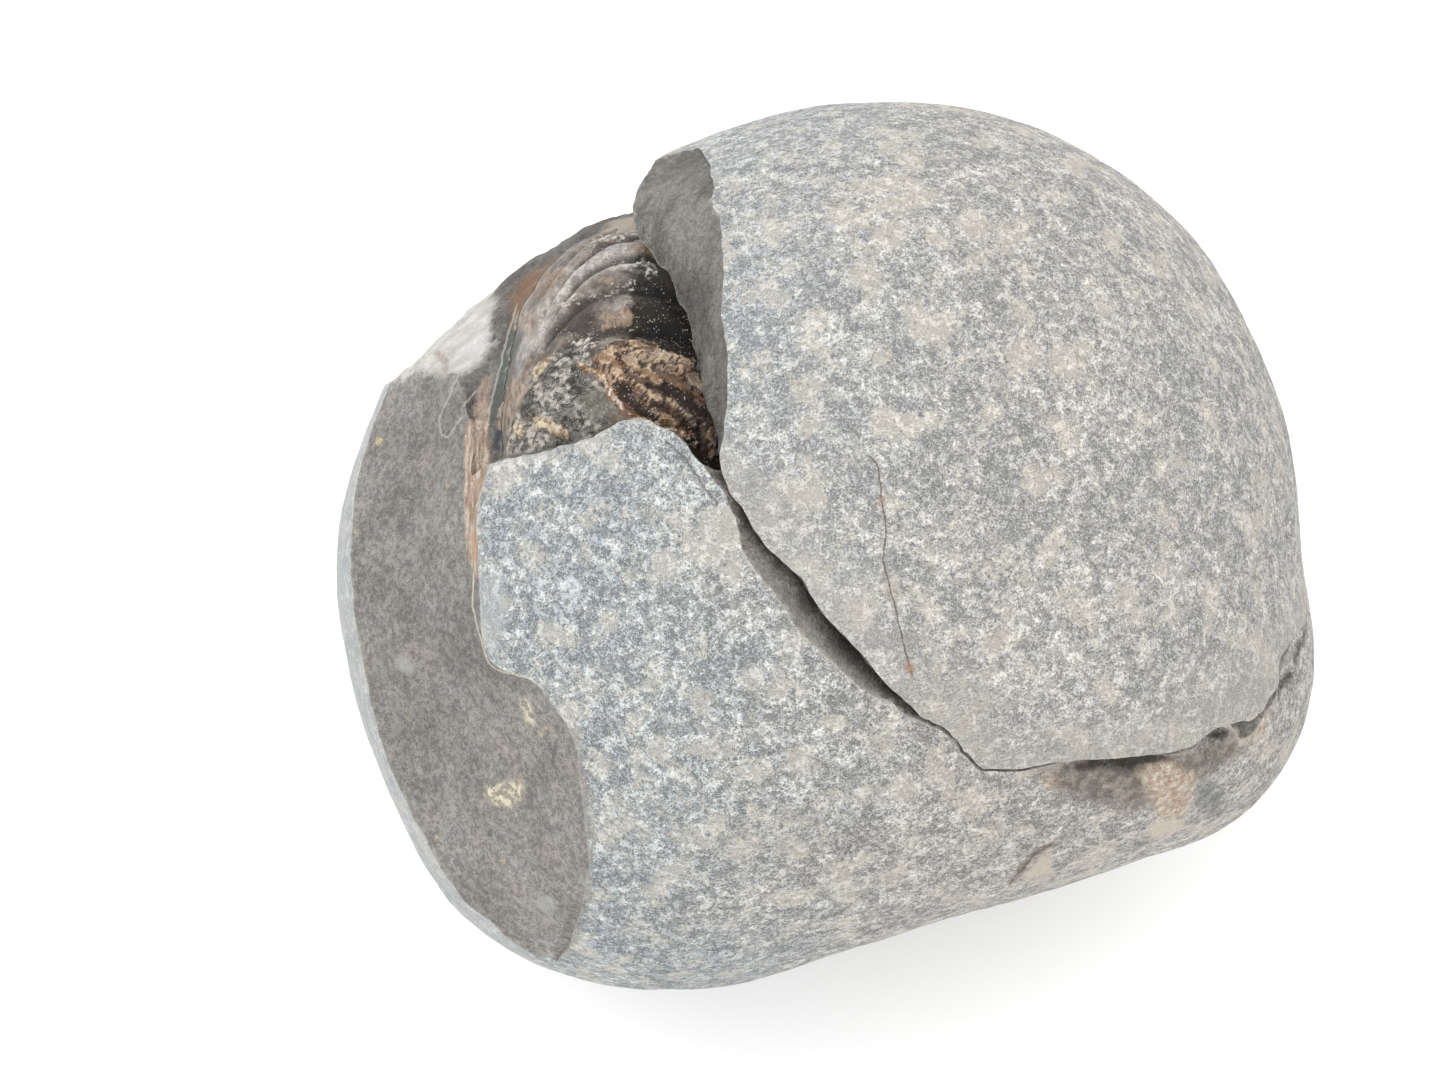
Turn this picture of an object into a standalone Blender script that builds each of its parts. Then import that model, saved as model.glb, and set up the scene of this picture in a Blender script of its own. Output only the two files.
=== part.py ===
"""A grey concretion split in two, with an ammonite between the halves.

The stone is described in its own frame, in millimetres: u runs to the right, v runs up across the
crown, and w comes out of the crown, from the middle of the stone. The frame leans back by LEAN
where the stone rests on its flat spot. The finished meshes are in metres, with +Z up.
"""
import math

import bmesh
import bpy
import numpy as np

# Driving dimensions, in mm and degrees.
LEAN = 15.0
OUTLINE_RADII = (47.4, 47.3, 47.5, 47.8, 46.9, 45.6, 43.8, 42.3, 42.2, 43.7, 45.4, 46.6,
                 48.0, 48.3, 49.1, 50.5, 48.9, 44.8, 40.4, 38.7, 39.8, 43.5, 49.8, 50.2)
CROWN_DEPTH = 45.0
BASE_DEPTH = 38.0
CROWN_POWER = 2.15
BASE_POWER = 2.5
FLAT_DEPTH = 2.0
GAP = 0.3

# The split between the halves: a sloping plane that drops at the back, with a stepped edge.
SPLIT_HEIGHT = 40.8
SPLIT_SLOPE_U = 0.506
SPLIT_SLOPE_V = 0.306
SPLIT_EDGE_RUN = (0.77, -0.64)
SPLIT_HINGE_V = 4.2
SPLIT_HINGE_SLOPE = 0.30
SPLIT_DROP = 33.0
SPLIT_DROP_RATE = 1.2
SPLIT_DROP_RATE_RIGHT = 0.35
SPLIT_DROP_SIDE = (10.0, 45.0)
SPLIT_STEPS = ((-12.0, 0.0), (2.0, 0.2), (18.0, 0.1), (22.9, -2.5), (26.3, -1.1), (29.0, 0.6),
               (33.0, 1.8), (38.0, 2.0), (40.5, 0.0), (43.0, -1.5))

# The broken left wall of the cap: u, v, w on its upper edge and how much it leans over.
WALL_LINE = ((-17.0, 48.0, 0.0, 1.0), (-14.0, 42.0, 6.0, 1.0), (-11.9, 38.3, 15.5, 0.9),
             (-10.4, 33.4, 26.9, 0.8), (-10.0, 28.2, 33.2, 0.6), (-9.6, 22.5, 37.8, 0.38),
             (-9.3, 13.3, 42.3, 0.3), (-9.8, 7.1, 43.7, 0.05), (-7.8, 3.2, 44.5, 0.0),
             (-6.0, 0.5, 44.8, 0.0), (-3.0, -2.1, 44.9, 0.0), (-1.6, -4.3, 44.9, 0.0),
             (1.4, -7.8, 44.3, 0.0), (5.0, -12.2, 42.9, 0.0), (7.7, -15.1, 41.4, 0.0),
             (12.0, -21.0, 38.0, 0.0), (17.0, -30.0, 30.0, 0.0))
WALL_FALL = (12.0, 5.0, 0.0, -4.0, -8.0, -12.0, -17.0, -23.0, -31.0, -42.0, -55.0)

# The break that bares the fossil: where it meets the outline, and where it meets the skin.
BREAK_OUTLINE = ((-46.0, 13.5), (-41.5, 17.5), (-36.8, 21.5), (-31.1, 27.0), (-25.7, 30.4),
                 (-21.8, 32.2), (-19.0, 33.1), (-15.0, 35.0), (-8.0, 38.5), (2.0, 44.5))
BREAK_SKIN_EDGE = ((-40.0, 4.0, 40.0), (-37.0, 5.0, 40.0), (-34.0, 6.5, 33.0), (-31.7, 7.3, 29.0),
                   (-26.5, 9.0, 33.0), (-22.0, 9.8, 36.0), (-18.0, 11.8, 36.5), (-14.5, 10.4, 34.5),
                   (-9.8, 7.1, 34.0), (0.0, 14.0, 30.0))
BREAK_SHOULDER = 4.0
BREAK_POWER = 1.55

# The flake scar on the left: its step against the skin, and where it runs out at the margin.
SCAR_STEP = ((-30.0, 31.0, 16.0, 1.5), (-31.2, 21.0, 27.0, 2.5), (-31.6, 13.8, 31.6, 3.2),
             (-30.8, 9.0, 33.9, 3.2), (-32.0, 2.8, 34.4, 3.0), (-31.8, -4.4, 34.9, 3.0),
             (-30.5, -9.9, 35.2, 2.4), (-27.0, -11.6, 37.1, 1.6), (-25.2, -13.4, 37.7, 1.6),
             (-22.9, -16.9, 38.1, 1.6), (-22.2, -25.2, 35.0, 1.2), (-22.8, -32.1, 29.2, 0.8),
             (-25.4, -39.5, 15.0, 0.2))
SCAR_MARGIN = ((-40.0, 30.0, 4.0), (-41.0, 20.5, 9.0), (-42.3, 15.8, 12.0), (-43.5, 11.6, 13.0),
               (-44.9, 6.8, 14.3), (-45.0, -0.9, 17.0), (-44.7, -6.0, 17.2), (-44.2, -10.0, 17.0),
               (-43.0, -15.8, 16.5), (-41.0, -22.0, 15.8), (-37.7, -28.6, 15.9),
               (-33.3, -33.8, 16.5), (-29.0, -40.0, 13.0))
SCAR_HOLLOW = 0.8
SCAR_STEP_RUN = 0.9

# How a cutter runs on above the skin edge it leaves.
EDGE_FLARE = (0.3, -0.3, 14.0)

# The ammonite: a disc on edge whose outer whorl grows towards the crown.
SHELL_CENTRE = (-15.0, 1.4, 6.1)
SHELL_AXIS = (-0.985, -0.094, -0.146)
SHELL_RIM = (-0.174, 0.533, 0.828)
SHELL_RADIUS = 32.6
WHORL_HEIGHT = 10.0
WHORL_WIDTH = 11.5
WHORL_GROWTH = 1.6
APERTURE_ANGLE = 100.0
WHORL_COUNT = 4
HUB_HEIGHT = 1.5
HUB_RADIUS = 2.0

SKIN_RINGS = 20
SKIN_SPOKES = 44
SPLIT_CELLS = 30
SHELL_SPOKES = 40
EDGE_STEPS = 2

# How far the cutters reach past the stone's middle.
BEYOND = 60.0

# Where the stone's middle sits over the origin of the finished part, in mm.
MIDDLE = (-0.246, -0.57, 37.618)


def outline(azimuth):
    """Radius of the stone's outline at an azimuth, by a smooth curve through OUTLINE_RADII."""
    radii = np.array(OUTLINE_RADII)
    place = (np.asarray(azimuth) / (2 * math.pi) * len(radii)) % len(radii)
    first = np.floor(place).astype(int)
    part = place - first
    a, b, c, d = (radii[(first + step) % len(radii)] for step in (-1, 0, 1, 2))
    return b + 0.5 * part * (c - a + part * (2 * a - 5 * b + 4 * c - d + part * (3 * (b - c) + d - a)))


def to_world(points):
    """Turn points of the stone's frame, in mm, to the finished part's frame, in metres."""
    points = np.asarray(points, dtype=float)
    lean = math.radians(LEAN)
    u, v, w = points[..., 0], points[..., 1], points[..., 2]
    world = np.stack([u, v * math.cos(lean) - w * math.sin(lean),
                      v * math.sin(lean) + w * math.cos(lean)], axis=-1)
    return (world + np.array(MIDDLE)) / 1000.0


def add_object(name, vertices, faces, colour=None, roughness=0.8):
    """Make a mesh object from points in metres; colour makes it a finished piece."""
    mesh = bpy.data.meshes.new(name)
    mesh.from_pydata([tuple(v) for v in vertices], [], faces)
    work = bmesh.new()
    work.from_mesh(mesh)
    bmesh.ops.recalc_face_normals(work, faces=work.faces)
    bmesh.ops.triangulate(work, faces=work.faces)
    work.to_mesh(mesh)
    work.free()
    thing = bpy.data.objects.new(name, mesh)
    bpy.context.scene.collection.objects.link(thing)
    if colour is None:
        thing.hide_render = True
        thing.display_type = "WIRE"
        return thing
    material = bpy.data.materials.new(name + "_finish")
    material.use_nodes = True
    shader = material.node_tree.nodes["Principled BSDF"]
    shader.inputs["Base Color"].default_value = (*colour, 1.0)
    shader.inputs["Roughness"].default_value = roughness
    shader.inputs["Metallic"].default_value = 0.0
    mesh.materials.append(material)
    return thing


def finer(stations, steps):
    """More rows between the given ones, on a smooth curve through them."""
    stations = np.asarray(stations, dtype=float)
    place = np.linspace(0, len(stations) - 1, (len(stations) - 1) * steps + 1)
    first = np.minimum(np.floor(place).astype(int), len(stations) - 2)
    part = (place - first).reshape((-1,) + (1,) * (stations.ndim - 1))
    padded = np.concatenate([2 * stations[:1] - stations[1:2], stations,
                             2 * stations[-1:] - stations[-2:-1]])
    a, b, c, d = (padded[first + step] for step in range(4))
    return b + 0.5 * part * (c - a + part * (2 * a - 5 * b + 4 * c - d + part * (3 * (b - c) + d - a)))


def grid_faces(rows, columns, closed_rows=False, start=0):
    """Quads of a grid of points stored row by row; closed_rows joins the last row to the first."""
    faces = []
    for row in range(rows if closed_rows else rows - 1):
        after = (row + 1) % rows
        for column in range(columns - 1):
            faces.append((start + row * columns + column, start + row * columns + column + 1,
                          start + after * columns + column + 1, start + after * columns + column))
    return faces


def stone_blank(name, colour):
    """The whole stone before it broke: a pebble with a flat spot to rest on."""
    spokes = np.linspace(0, 2 * math.pi, SKIN_SPOKES, endpoint=False)
    levels = np.linspace(-90, 90, SKIN_RINGS + 2)[1:-1] * math.pi / 180
    spoke, level = np.meshgrid(spokes, levels, indexing="ij")
    power = np.where(level > 0, CROWN_POWER, BASE_POWER)
    depth = np.where(level > 0, CROWN_DEPTH, BASE_DEPTH)
    reach = outline(spoke) * np.cos(level) ** (2 / power)
    w = depth * np.sign(level) * np.abs(np.sin(level)) ** (2 / power)
    points = np.stack([reach * np.cos(spoke), reach * np.sin(spoke), w], axis=-1).reshape(-1, 3)
    points = np.vstack([points, [(0, 0, -BASE_DEPTH), (0, 0, CROWN_DEPTH)]])
    world = to_world(points)
    floor = world[:, 2].min() + FLAT_DEPTH / 1000.0
    world[:, 2] = np.maximum(world[:, 2], floor)
    rings = len(levels)
    faces = grid_faces(SKIN_SPOKES, rings, closed_rows=True)
    bottom, top = len(world) - 2, len(world) - 1
    for number in range(SKIN_SPOKES):
        after = (number + 1) % SKIN_SPOKES
        faces.append((number * rings, after * rings, bottom))
        faces.append((number * rings + rings - 1, top, after * rings + rings - 1))
    return add_object(name, world, faces, colour)


def pushed_sheet(name, grid, push):
    """A closed cutter: a sheet of points and the same sheet pushed away along one direction."""
    rows, columns = grid.shape[:2]
    near = grid.reshape(-1, 3)
    far = near + np.array(push)
    count = rows * columns
    faces = grid_faces(rows, columns)
    faces += [tuple(reversed(face)) for face in grid_faces(rows, columns, start=count)]
    edge = [column for column in range(columns)]
    edge += [row * columns + columns - 1 for row in range(1, rows)]
    edge += [(rows - 1) * columns + column for column in range(columns - 2, -1, -1)]
    edge += [row * columns for row in range(rows - 2, 0, -1)]
    for number, here in enumerate(edge):
        after = edge[(number + 1) % len(edge)]
        faces.append((here, here + count, after + count, after))
    return add_object(name, to_world(np.vstack([near, far])), faces)


def split_height(u, v):
    """Height w of the split: a plane, dropping behind a slanting line, plus the stepped edge."""
    behind = np.logaddexp(0, v + SPLIT_HINGE_SLOPE * u - SPLIT_HINGE_V)
    near, far = SPLIT_DROP_SIDE
    side = np.clip((u - near) / (far - near), 0, 1)
    side = side * side * (3 - 2 * side)
    rate = SPLIT_DROP_RATE + SPLIT_DROP_RATE_RIGHT * side
    drop = SPLIT_DROP * np.tanh(behind * rate / SPLIT_DROP)
    along = SPLIT_EDGE_RUN[0] * u + SPLIT_EDGE_RUN[1] * v
    places, steps = zip(*SPLIT_STEPS)
    return SPLIT_HEIGHT - SPLIT_SLOPE_U * u - SPLIT_SLOPE_V * v - drop + np.interp(along, places, steps)


def split_block(name, lift):
    """Everything above the split, which is raised by lift."""
    reach = np.linspace(-BEYOND, BEYOND, SPLIT_CELLS + 1)
    u, v = np.meshgrid(reach, reach, indexing="ij")
    return pushed_sheet(name, np.stack([u, v, split_height(u, v) + lift], axis=-1), (0, 0, 2 * BEYOND))


def wall_cutter():
    """The lost left edge of the cap: a curtain along WALL_LINE, pushed out to the left."""
    line = finer(WALL_LINE, EDGE_STEPS)
    edge, lean = line[:, :3], line[:, 3]
    fall = np.stack([lean, np.zeros(len(lean)), np.ones(len(lean))], axis=-1)
    grid = np.stack([edge + reach * fall for reach in WALL_FALL], axis=1)
    return pushed_sheet("cap_break", grid, (-95.0, -25.0, 15.0))


def break_cutter():
    """The lost chunk over the fossil: a rounded shoulder from the outline up to the skin."""
    rows = []
    for (u, v), inner in zip(BREAK_OUTLINE, BREAK_SKIN_EDGE):
        outer = np.array((u, v, BREAK_SHOULDER))
        inner = np.array(inner)
        row = [outer + (0, 0, -BEYOND), outer + (0, 0, -BEYOND / 2)]
        for angle in np.radians((0, 15, 30, 45, 60, 75, 90)):
            across = 1 - math.cos(angle) ** (2 / BREAK_POWER)
            up = math.sin(angle) ** (2 / BREAK_POWER)
            row.append(outer + (inner - outer) * (across, across, up))
        row.append(inner + EDGE_FLARE)
        rows.append(row)
    return pushed_sheet("fossil_break", finer(rows, EDGE_STEPS), (-45.0, BEYOND, 45.0))


def outline_cutter():
    """What lies outside the break's outline, at every depth."""
    rows = [[(u, v, -BEYOND), (u, v, 0.0), (u, v, BEYOND)] for u, v in BREAK_OUTLINE]
    return pushed_sheet("fossil_trim", finer(rows, EDGE_STEPS), (-40.0, BEYOND, 0.0))


def scar_cutter():
    """The lost flake on the left: a shallow hollow floor and a step up to the skin."""
    rows = []
    for step, margin in zip(SCAR_STEP, SCAR_MARGIN):
        top, height = np.array(step[:3]), step[3]
        foot = top + (-SCAR_STEP_RUN, 0.0, -height)
        margin = np.array(margin)
        middle = (foot + margin) / 2 + (0.4 * SCAR_HOLLOW, 0, -SCAR_HOLLOW)
        outside = margin + 0.7 * (margin - foot)
        rows.append([outside, margin, middle, foot, top, top + EDGE_FLARE])
    return pushed_sheet("left_scar", finer(rows, EDGE_STEPS), (-40.0, 0.0, 65.0))


def shell_profile(swell):
    """Half of a whorl section as (radius, height): over the outer whorl, then down to the middle.

    The outer whorl is an ellipse; inside it the height is the highest of the earlier whorls, each
    smaller by the growth, and swell makes every whorl fatter.
    """
    ring = SHELL_RADIUS - WHORL_HEIGHT
    turn = np.radians(np.array((0, 20, 40, 60, 85, 110)))
    radius = list(ring + (WHORL_HEIGHT + swell) * np.cos(turn))
    height = list((WHORL_WIDTH + swell) * np.sin(turn))
    for place in np.linspace(radius[-1], HUB_RADIUS, 6)[1:]:
        best = HUB_HEIGHT + swell
        for number in range(WHORL_COUNT):
            size = WHORL_GROWTH ** -number
            inside = 1 - ((place - ring * size) / (WHORL_HEIGHT * size + swell)) ** 2
            if inside > 0:
                best = max(best, (WHORL_WIDTH * size + swell) * math.sqrt(inside))
        radius.append(place)
        height.append(best)
    return np.array(radius), np.array(height)


def ammonite(name, colour=None, swell=0.0):
    """The coil: the whorl section carried round the axis while it grows, closed at both sides."""
    axis = np.array(SHELL_AXIS)
    axis /= np.linalg.norm(axis)
    rim = np.array(SHELL_RIM)
    rim -= axis * rim.dot(axis)
    rim /= np.linalg.norm(rim)
    across = np.cross(rim, axis)
    radius, height = shell_profile(swell)
    radius = np.concatenate([radius[:0:-1], radius])
    height = np.concatenate([height[:0:-1], -height])
    angle = np.radians(np.linspace(APERTURE_ANGLE - 360, APERTURE_ANGLE, SHELL_SPOKES, endpoint=False))
    size = WHORL_GROWTH ** (angle / (2 * math.pi))
    direction = np.outer(np.cos(angle), rim) + np.outer(np.sin(angle), across)
    points = (np.array(SHELL_CENTRE) + direction[:, None, :] * (size[:, None] * radius)[..., None]
              + axis * (size[:, None] * height)[..., None])
    columns = len(radius)
    hub = axis * (HUB_HEIGHT + swell)
    poles = [np.array(SHELL_CENTRE) + hub, np.array(SHELL_CENTRE) - hub]
    faces = grid_faces(SHELL_SPOKES, columns, closed_rows=True)
    first, last = len(points) * columns, len(points) * columns + 1
    for number in range(SHELL_SPOKES):
        after = (number + 1) % SHELL_SPOKES
        faces.append((number * columns, after * columns, first))
        faces.append((number * columns + columns - 1, last, after * columns + columns - 1))
    return add_object(name, to_world(np.vstack([points.reshape(-1, 3), poles])), faces, colour, 0.5)


def cut(piece, cutter, operation="DIFFERENCE"):
    """Cut a piece with a closed cutter; the exact solver drops pieces of this size."""
    step = piece.modifiers.new(cutter.name, "BOOLEAN")
    step.operation = operation
    step.object = cutter
    step.solver = "MANIFOLD"


def build():
    for thing in list(bpy.data.objects):
        bpy.data.objects.remove(thing)
    lower_half = stone_blank("lower_half", (0.42, 0.42, 0.40))
    upper_half = stone_blank("upper_half", (0.48, 0.47, 0.45))
    fossil = ammonite("ammonite", (0.06, 0.045, 0.035))
    socket = ammonite("fossil_socket", swell=GAP)
    break_space = break_cutter()

    cut(lower_half, split_block("above_split", -GAP / 2))
    cut(lower_half, break_space)
    cut(lower_half, scar_cutter())
    cut(lower_half, socket)
    cut(upper_half, split_block("above_gap", GAP / 2), "INTERSECT")
    cut(upper_half, wall_cutter())
    cut(upper_half, socket)
    cut(fossil, outline_cutter())


build()
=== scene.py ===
"""A grey concretion split in two, with an ammonite bared between its halves.

Shapes are worked out in millimetres in the stone's own frame: u to the right, v up across the
crown, w out of the crown. The frame leans back where the stone rests on its flat spot.
"""
import math

import bpy
import numpy as np
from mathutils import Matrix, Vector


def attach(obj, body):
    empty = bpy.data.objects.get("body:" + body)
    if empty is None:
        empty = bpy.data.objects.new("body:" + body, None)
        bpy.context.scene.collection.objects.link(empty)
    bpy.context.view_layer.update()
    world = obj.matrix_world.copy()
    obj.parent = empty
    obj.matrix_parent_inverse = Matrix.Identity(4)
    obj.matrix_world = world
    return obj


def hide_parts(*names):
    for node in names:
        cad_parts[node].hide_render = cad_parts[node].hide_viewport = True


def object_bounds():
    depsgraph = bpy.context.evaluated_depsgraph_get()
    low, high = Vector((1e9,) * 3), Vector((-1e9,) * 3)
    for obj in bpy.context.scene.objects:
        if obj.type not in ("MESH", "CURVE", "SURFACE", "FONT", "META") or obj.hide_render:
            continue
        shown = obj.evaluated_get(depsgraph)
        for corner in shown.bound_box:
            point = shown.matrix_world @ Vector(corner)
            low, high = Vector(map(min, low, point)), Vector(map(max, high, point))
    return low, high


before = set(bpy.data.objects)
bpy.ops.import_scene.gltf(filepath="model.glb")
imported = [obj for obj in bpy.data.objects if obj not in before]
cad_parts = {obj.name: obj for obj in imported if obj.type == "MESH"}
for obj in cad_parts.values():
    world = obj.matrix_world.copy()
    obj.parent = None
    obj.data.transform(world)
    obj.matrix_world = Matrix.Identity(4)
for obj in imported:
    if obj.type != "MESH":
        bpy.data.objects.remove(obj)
cad_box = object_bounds()

# ---------------------------------------------------------------------------------------------
# The ammonite: a ribbed coil of dark shell over a mudstone cast, standing on edge in the stone. Its
# outer whorl is bared at the back left, where flakes of brown shell still cling to the grey cast.
# It grew by a spiral, and is broken off with the rock behind it.

LEAN = 15.0
MIDDLE = (-0.246, -0.57, 37.618)
BEYOND = 60.0
FINE = 1.0
SHEET_CELL = 0.5 * FINE

SHELL_CENTRE = (-15.0, 1.4, 6.1)
SHELL_AXIS = (-0.985, -0.094, -0.146)
SHELL_RIM = (-0.174, 0.533, 0.828)
SHELL_RADIUS = 32.6
WHORL_HEIGHT = 10.0
WHORL_WIDTH = 11.5
WHORL_GROWTH = 1.6
APERTURE_ANGLE = 100.0
WHORL_COUNT = 4
HUB_HEIGHT = 1.5
HUB_RADIUS = 2.0
RIB_SPACING = 10.0
RIB_START = -3.5
RIB_DEPTH = 0.80
# Ribs bend from this place across the whorl, and fade out down the flanks, in degrees.
RIB_MIDDLE = -8.0
RIB_REACH = 43.0
RIB_SWEEP, RIB_SWEEP_RATE, RIB_SWEEP_MOST = 5.0, 0.65, 22.0
LEFT_BEND = 1.15
RIGHT_BEND, RIGHT_SHARE = 3.0, 0.15
FURROW_DEPTH, FURROW_WIDTH = 0.42, 0.15
HOLLOW_DEPTH = 0.25
MIDLINE_DEPTH, MIDLINE_WIDTH = 0.08, 0.07
RIB_FADE, RIB_FADE_START, RIB_FADE_SPAN = 0.82, 22.0, 34.0
SEEN_TURN = (-75.0, 45.0)
# Steps in degrees along the seen and the hidden turns, and across the whorl.
COIL_STEPS = (0.50, 1.6, 1.2)
SOCKET_STEPS = (0.9, 3.0, 2.6)
SOCKET_SWELL = 0.06
# A whorl's section runs from its keel to this angle, and from there on over the older whorls.
SECTION_END = 110.001
INNER_SHARE = 0.35

# Where coil and rock are broken off at the back: corners (u, v), and the way the end falls off.
BREAK_LENGTH = 70.0
COIL_END_PUSH = (-40.0, BEYOND, 0.0)
BREAK_OUTLINE = ((-46.0, 13.5), (-41.5, 17.5), (-36.8, 21.5), (-31.1, 27.0), (-25.7, 30.4),
                 (-21.8, 32.2), (-19.0, 33.1), (-15.0, 35.0), (-8.0, 38.5), (2.0, 44.5))

# Which surface a face belongs to.
SKIN, SPLIT, SCAR, BREAK, WALL, SOCKET = range(6)

# Roughness as a seed, and layers of bumps (height, size, octaves) in mm.
SHELL_BUMPS = (77, (0.14, 5.0, 2), (0.05, 1.2, 2))
COIL_END_BUMPS = (80, (0.4, 4.0, 2), (0.12, 1.3, 2))
RAGGED_BUMPS = (73, (0.5, 1.6, 1), (0.3, 0.6, 1))
PIT_BUMPS = (75, (0.22, 0.8, 1))

# Marks on the bared cast, by the name that its material reads: outlines with corners (u, v), such
# as torn flakes of shell and pitted rock, and lines as (half width, corners).
CAST_OUTLINES = {
    "flakes": (
        ((-21.8, 17.1), (-21.0, 18.0), (-19.8, 19.1), (-17.3, 19.4), (-15.9, 18.7), (-14.3, 18.1),
         (-12.7, 17.5), (-10.8, 15.5), (-9.8, 13.2), (-9.3, 10.4), (-9.3, 7.4), (-10.8, 7.9),
         (-12.0, 9.4), (-12.7, 10.7), (-14.5, 11.2), (-16.3, 11.7), (-17.7, 12.1), (-18.8, 12.7),
         (-19.9, 14.3), (-21.0, 15.9)),),
    "pits": (
        ((-27.9, 13.8), (-26.8, 16.5), (-24.6, 18.6), (-22.6, 19.0), (-20.8, 16.2), (-19.1, 13.1),
         (-20.4, 10.8), (-22.3, 9.0), (-26.2, 8.6), (-30.2, 9.0)),),
    "smooth_rock": (((-22.3, 14.6), (-20.2, 14.6), (-18.6, 12.4), (-20.7, 11.4), (-22.6, 12.3)),),
    "tan_flake": (
        ((-21.0, 21.9), (-19.6, 21.7), (-18.6, 22.5), (-17.7, 21.3), (-18.2, 20.4), (-19.5, 20.6),
         (-20.9, 20.1), (-20.6, 21.0)),),
    "cream_flakes": (
        ((-27.0, 12.1), (-25.9, 12.2), (-24.7, 11.4), (-23.5, 10.9), (-23.6, 10.1), (-24.8, 10.3),
         (-25.8, 10.9), (-26.9, 11.2)),
        ((-26.4, 17.3), (-25.3, 17.8), (-25.7, 16.7), (-26.8, 15.8), (-27.3, 16.2)),
        ((-28.8, 11.4), (-28.1, 11.8), (-27.7, 10.8), (-28.2, 10.0), (-28.7, 10.6))),
    "pink_rock": (
        ((-29.2, 16.1), (-28.3, 15.6), (-27.4, 15.8), (-27.6, 14.3), (-28.7, 12.9), (-29.5, 11.2),
         (-30.7, 11.3), (-30.3, 13.0), (-29.7, 14.4)),
        ((-29.5, 22.2), (-27.9, 22.8), (-26.9, 20.9), (-27.4, 19.5), (-28.0, 20.5), (-29.2, 20.5))),
    # Painted highlight on the smooth rib bands.
    "painted_sheen": (
        ((-19.8, 29.2), (-17.9, 28.6), (-18.2, 26.6), (-21.1, 26.2), (-23.3, 24.4), (-25.1, 21.8),
         (-26.8, 18.1), (-27.6, 18.6), (-26.7, 22.1), (-25.0, 25.6), (-22.7, 27.6)),
        ((-28.0, 20.5), (-27.2, 20.8), (-27.6, 17.6), (-28.8, 16.2), (-28.7, 18.1))),
    # Painted shade in the hollows between ribs.
    "painted_hollow_shade": (
        ((-22.7, 23.0), (-19.4, 23.6), (-21.3, 22.2), (-21.4, 20.5), (-23.6, 19.6), (-25.2, 18.6),
         (-26.3, 17.9), (-25.5, 20.2), (-24.2, 22.0)),
        ((-25.4, 17.3), (-23.8, 18.7), (-22.5, 19.0), (-20.7, 19.7), (-21.5, 17.5), (-23.1, 17.0),
         (-24.7, 16.8))),
    "green_hollow": (
        ((-29.3, 20.7), (-28.0, 20.9), (-28.9, 17.7), (-29.9, 14.4), (-30.8, 13.0),
         (-30.8, 16.3)),),
    "rusty_patches": (
        ((-28.5, 25.9), (-25.0, 26.4), (-24.5, 25.6), (-26.8, 24.0), (-28.6, 23.4), (-29.3, 24.5)),
        ((-17.9, 28.2), (-16.8, 28.7), (-15.9, 29.6), (-14.9, 29.0), (-16.3, 27.5))),
}
CAST_LINES = {
    "torn_edge": (
        (0.16, ((-22.5, 16.8), (-21.0, 16.0), (-20.3, 15.3), (-19.7, 14.1), (-18.8, 12.8),
         (-17.7, 11.9), (-16.0, 11.4), (-14.5, 11.0), (-12.7, 10.3))),),
    "flake_ledge": (
        (0.14, ((-21.9, 17.2), (-20.6, 17.6), (-19.0, 16.7), (-17.0, 16.3), (-14.8, 15.6),
         (-12.6, 14.6), (-10.8, 13.0))),),
    # Painted highlights along the ridges of the left flank.
    "flank_ridge_highlights": (
        (0.11, ((-28.9, 22.6), (-29.4, 21.2), (-29.7, 19.4), (-30.4, 16.8), (-30.9, 13.9))),
        (0.1, ((-26.7, 22.4), (-27.1, 20.4), (-27.5, 18.0), (-28.5, 16.0)))),
    "speck_lines": (
        (0.3, ((-24.6, 22.8), (-22.3, 23.4), (-20.6, 23.7), (-19.4, 24.1), (-18.2, 24.6))),
        (0.5, ((-23.0, 19.2), (-22.0, 19.5), (-21.9, 18.8))),
        (0.4, ((-18.9, 26.6), (-17.8, 26.7), (-16.2, 26.1), (-16.6, 25.4))),
        (0.45, ((-22.4, 29.4), (-20.7, 29.9), (-18.9, 30.2), (-16.8, 30.2))),
        (0.25, ((-11.9, 17.6), (-11.0, 15.4), (-10.6, 13.0)))),
}

# Marks fade out below a level w, and their edges stray below another, in mm.
FRONT_LEVEL = 0.0
SHELL_LEVEL = 8.0
LEVEL_FADE = 0.2
STRAY_LEVEL = 12.0
STRAY_SIZE = 6.5
STRAY = 4.5
STRAY_SEEDS = (201, 202, 203)
FAR_OUT = -9.0

# Shards of shell: the direction in which they tear, their sizes and seeds, and their height.
FLAKE_RUN = (0.84, -0.54, 0.0)
FLAKE_STRETCH = 0.74
FLAKE_HEIGHT = 0.95
FLAKE_FOOT = 0.15
FLAKE_EDGE = 0.25
SCRAP_HEIGHT = 0.35
SCRAP_EDGE = 0.2
TORN_HEIGHT = 0.3
LARGE_SHARD, SMALL_SHARD = 1.9, 0.8
SHARD_SEEDS = (83, 91)
SHARD_WOBBLE = 0.35
WOBBLE_SIZE = 1.1
WOBBLE_SEEDS = (70, 71, 72)
SLOW_SIZE, SLOW_SEED = 2.6, 74
SHEET_SHARES = (0.42, 0.33, 0.25)

# Large odd numbers that scatter the bits of a cell's three numbers and of the seed.
HASH_AXES = (374761393, 668265263, 2246822519)
HASH_SEED = 97531
HASH_MIXES = ((15, 2654435761), (13, 1274126177), (16, 1))
HASH_BITS = 0xFFFFFF
SEED_SHIFT = 31.7


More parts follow.
